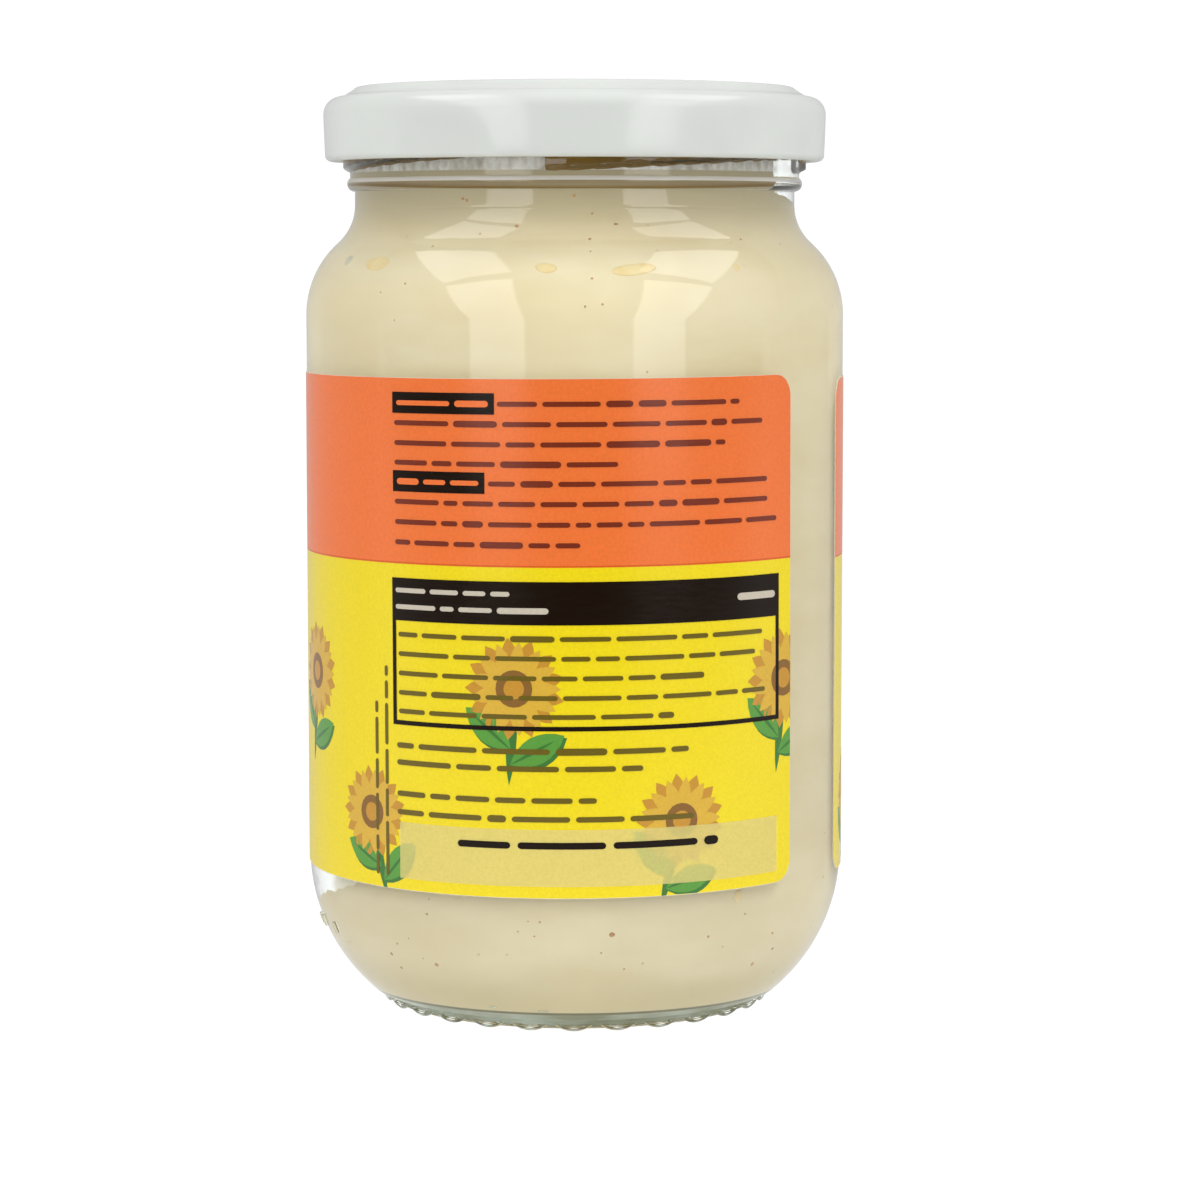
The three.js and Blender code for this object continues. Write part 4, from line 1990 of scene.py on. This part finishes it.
@dataclass
class Studio:
    """Camera, soft boxes, bright surround and the pale sweep that the jar stands on. Lengths in metres."""

    camera_place: tuple[float, float, float] = (0.00353, -0.51943, 0.10687)
    camera_pitch: float = 5.585
    lens_mm: float = 110.91
    sensor_mm: float = 36.0
    surround_front: float = 0.085
    surround_side: float = 0.6
    surround_back: float = 0.225
    surround_above: float = 0.03
    floor_front: float = 0.05
    floor_near: float = 0.95
    floor_back: float = 0.5
    floor_through: float = 1.1
    front_edge: Point = (-0.85, -0.55)
    back_edge: Point = (0.0, 0.6)
    above_edge: Point = (0.3, 0.9)
    floor_ahead: Point = (-0.34, -0.14)
    floor_behind: Point = (-0.06, 0.08)
    floor_grey: float = 0.05
    sweep_half: float = 5.0
    sweep_back: float = 0.9
    sweep_rise: float = 1.4
    sweep_bend: float = 0.35

    def camera(self) -> None:
        """Sets the camera at the photograph's angle."""
        data = bpy.data.cameras.new("camera")
        data.lens = self.lens_mm
        data.sensor_width = self.sensor_mm
        data.clip_start = 0.01
        camera = bpy.data.objects.new("camera", data)
        camera.location = self.camera_place
        camera.rotation_euler = (math.radians(90 - self.camera_pitch), 0, 0)
        bpy.context.collection.objects.link(camera)
        bpy.context.scene.camera = camera

    def lamps(self) -> None:
        """Sets a low and a high soft box on either side, with a dim strip at the foot of each low one."""
        for box in (
            SoftBox(
                "low_left", (-0.485, -0.594, 0.324), (0.993, -0.113, 0.013), (0.06, 0.616, 0.785),
                0.425, 0.613, 2.6,
            ),
            SoftBox(
                "low_right", (0.524, -0.565, 0.305), (0.976, 0.218, -0.005), (-0.148, 0.68, 0.718),
                0.413, 0.62, 2.6,
            ),
            SoftBox(
                "high_left", (-0.411, -0.132, 0.774), (-0.135, 0.515, -0.847), (-0.081, 0.846, 0.527),
                0.522, 0.532, 2.4,
            ),
            SoftBox(
                "high_right", (0.416, -0.114, 0.774), (0.096, 0.527, -0.844), (0.071, 0.843, 0.534),
                0.572, 0.531, 2.4,
            ),
            SoftBox(
                "foot_left", (-0.503, -0.783, 0.0585), (0.993, -0.113, 0.013), (0, 0, 1),
                0.425, 0.05, 1.9,
            ),
            SoftBox(
                "foot_right", (0.57, -0.776, 0.0574), (0.976, 0.218, -0.005), (0, 0, 1),
                0.413, 0.05, 1.9,
            ),
        ):
            box.build()

    def world(self) -> None:
        """Makes the surround: brightest at the sides, dim in front and behind, and white to the camera."""
        world = bpy.data.worlds.new("surround")
        world.use_nodes = True
        tree = world.node_tree
        background = tree.nodes["Background"]
        background.inputs["Color"].default_value = (1, 1, 1, 1)
        place = tree.nodes.new("ShaderNodeTexCoord")
        axes = tree.nodes.new("ShaderNodeSeparateXYZ")
        tree.links.new(place.outputs["Generated"], axes.inputs["Vector"])

        def ramp(axis: str, edge: Point, dim: float, bright: float) -> bpy.types.NodeSocket:
            """Goes smoothly from one brightness to another along an axis, between two places.

            Args:
                axis: the axis.
                edge: the two places.
                dim, bright: the brightness at each.

            Returns:
                The brightness's socket.
            """
            node = tree.nodes.new("ShaderNodeMapRange")
            node.interpolation_type = "SMOOTHSTEP"
            for name, value in zip(("From Min", "From Max", "To Min", "To Max"), (*edge, dim, bright)):
                node.inputs[name].default_value = value
            tree.links.new(axes.outputs[axis], node.inputs["Value"])
            return node.outputs["Result"]

        front = ramp("Y", self.front_edge, self.surround_front, self.surround_side)
        behind = ramp("Y", self.back_edge, 1.0, self.surround_back / self.surround_side)
        above = ramp("Z", self.above_edge, 0.0, self.surround_above)
        dimmed = Effects.work_out(tree, "MULTIPLY", front, behind)
        path = tree.nodes.new("ShaderNodeLightPath")
        level = tree.nodes.new("ShaderNodeMapRange")
        level.inputs["To Max"].default_value = 1.0
        tree.links.new(Effects.work_out(tree, "ADD", dimmed, above), level.inputs["To Min"])
        tree.links.new(path.outputs["Is Camera Ray"], level.inputs["Value"])
        tree.links.new(level.outputs["Result"], background.inputs["Strength"])
        bpy.context.scene.world = world

    def sweep(self) -> None:
        """Makes the pale floor that curves up behind the jar."""
        bpy.ops.object.select_all(action="DESELECT")
        bpy.ops.mesh.primitive_plane_add(size=2 * self.sweep_half)
        floor = bpy.context.object
        floor.name = "pale_sweep"
        floor.location.y = self.sweep_back - self.sweep_half
        apply_place(floor)
        bpy.ops.object.mode_set(mode="EDIT")
        bpy.ops.mesh.select_all(action="DESELECT")
        bpy.ops.object.mode_set(mode="OBJECT")
        for edge in floor.data.edges:
            edge.select = all(floor.data.vertices[i].co.y > self.sweep_back - 0.01 for i in edge.vertices)
        bpy.ops.object.mode_set(mode="EDIT")
        bpy.ops.mesh.select_mode(type="EDGE")
        bpy.ops.mesh.extrude_region_move(TRANSFORM_OT_translate={"value": (0, 0, self.sweep_rise)})
        bpy.ops.object.mode_set(mode="OBJECT")
        for edge in floor.data.edges:
            ends = [floor.data.vertices[i].co for i in edge.vertices]
            edge.select = all(end.y > self.sweep_back - 0.01 and end.z < 0.01 for end in ends)
        bpy.ops.object.mode_set(mode="EDIT")
        bpy.ops.mesh.bevel(offset=self.sweep_bend, segments=12)
        bpy.ops.object.mode_set(mode="OBJECT")
        smooth(floor, 40)
        dress(floor, self.sweep_material())

    def sweep_material(self) -> bpy.types.Material:
        """Makes the sweep's finish: white to the camera, and to everything else bright only near the jar.

        Returns:
            The material.
        """
        surface = Surface("pale_floor")
        grey = (self.floor_grey, self.floor_grey, self.floor_grey, 1)
        surface.set(Base_Color=grey, Roughness=0.9, Emission_Color=(1, 1, 1, 1))
        place = surface.add("ShaderNodeTexCoord")
        axes = surface.add("ShaderNodeSeparateXYZ")
        surface.link(place.outputs["Object"], axes.inputs["Vector"])
        ramps = []
        stretches = (self.floor_ahead, self.floor_near), (self.floor_behind, self.floor_back)
        for (start, end), bright in stretches:
            node = surface.add("ShaderNodeMapRange", From_Min=start, From_Max=end, To_Max=bright)
            surface.link(axes.outputs["Y"], node.inputs["Value"])
            ramps.append(node)
        ahead, behind = ramps
        ahead.inputs["To Min"].default_value = self.floor_front
        surface.link(ahead.outputs["Result"], behind.inputs["To Min"])
        path = surface.add("ShaderNodeLightPath")
        level = behind.outputs["Result"]
        for ray, bright in (("Is Transmission Ray", self.floor_through), ("Is Camera Ray", 1.0)):
            node = surface.add("ShaderNodeMapRange", To_Max=bright)
            surface.link(path.outputs[ray], node.inputs["Value"])
            surface.link(level, node.inputs["To Min"])
            level = node.outputs["Result"]
        surface.link(level, surface.shader.inputs["Emission Strength"])
        return surface.material

    def build(self) -> None:
        """Sets up the whole studio."""
        self.camera()
        self.lamps()
        self.world()
        self.sweep()
        bpy.context.scene.view_settings.view_transform = "Standard"


def main() -> None:
    """Builds the studio and the jar's pieces."""
    logging.basicConfig(level=logging.INFO, format="%(name)s: %(message)s")
    Studio().build()
    effects = Effects()
    jar_low, jar_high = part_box("glass_jar")
    lid_low, lid_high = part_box("lid")
    fill_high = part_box("mayonnaise")[1]
    jar = GlassJar(body_radius=(jar_high.x - jar_low.x) / 2 / MM, rim_height=jar_high.z / MM)
    jar.build(GlassFinish(), effects)
    fill = Mayonnaise(jar, level=fill_high.z / MM)
    fill.build(EmulsionFinish(), effects)
    Inclusions(fill).build(effects)
    lid = LugLid((lid_high.x - lid_low.x) / 2 / MM, lid_low.z / MM, lid_high.z / MM, jar.rim_height)
    lid.build(LacquerFinish(), effects)
    WrapLabel(jar.body_radius).build(effects)


if __name__ == "__main__":
    main()
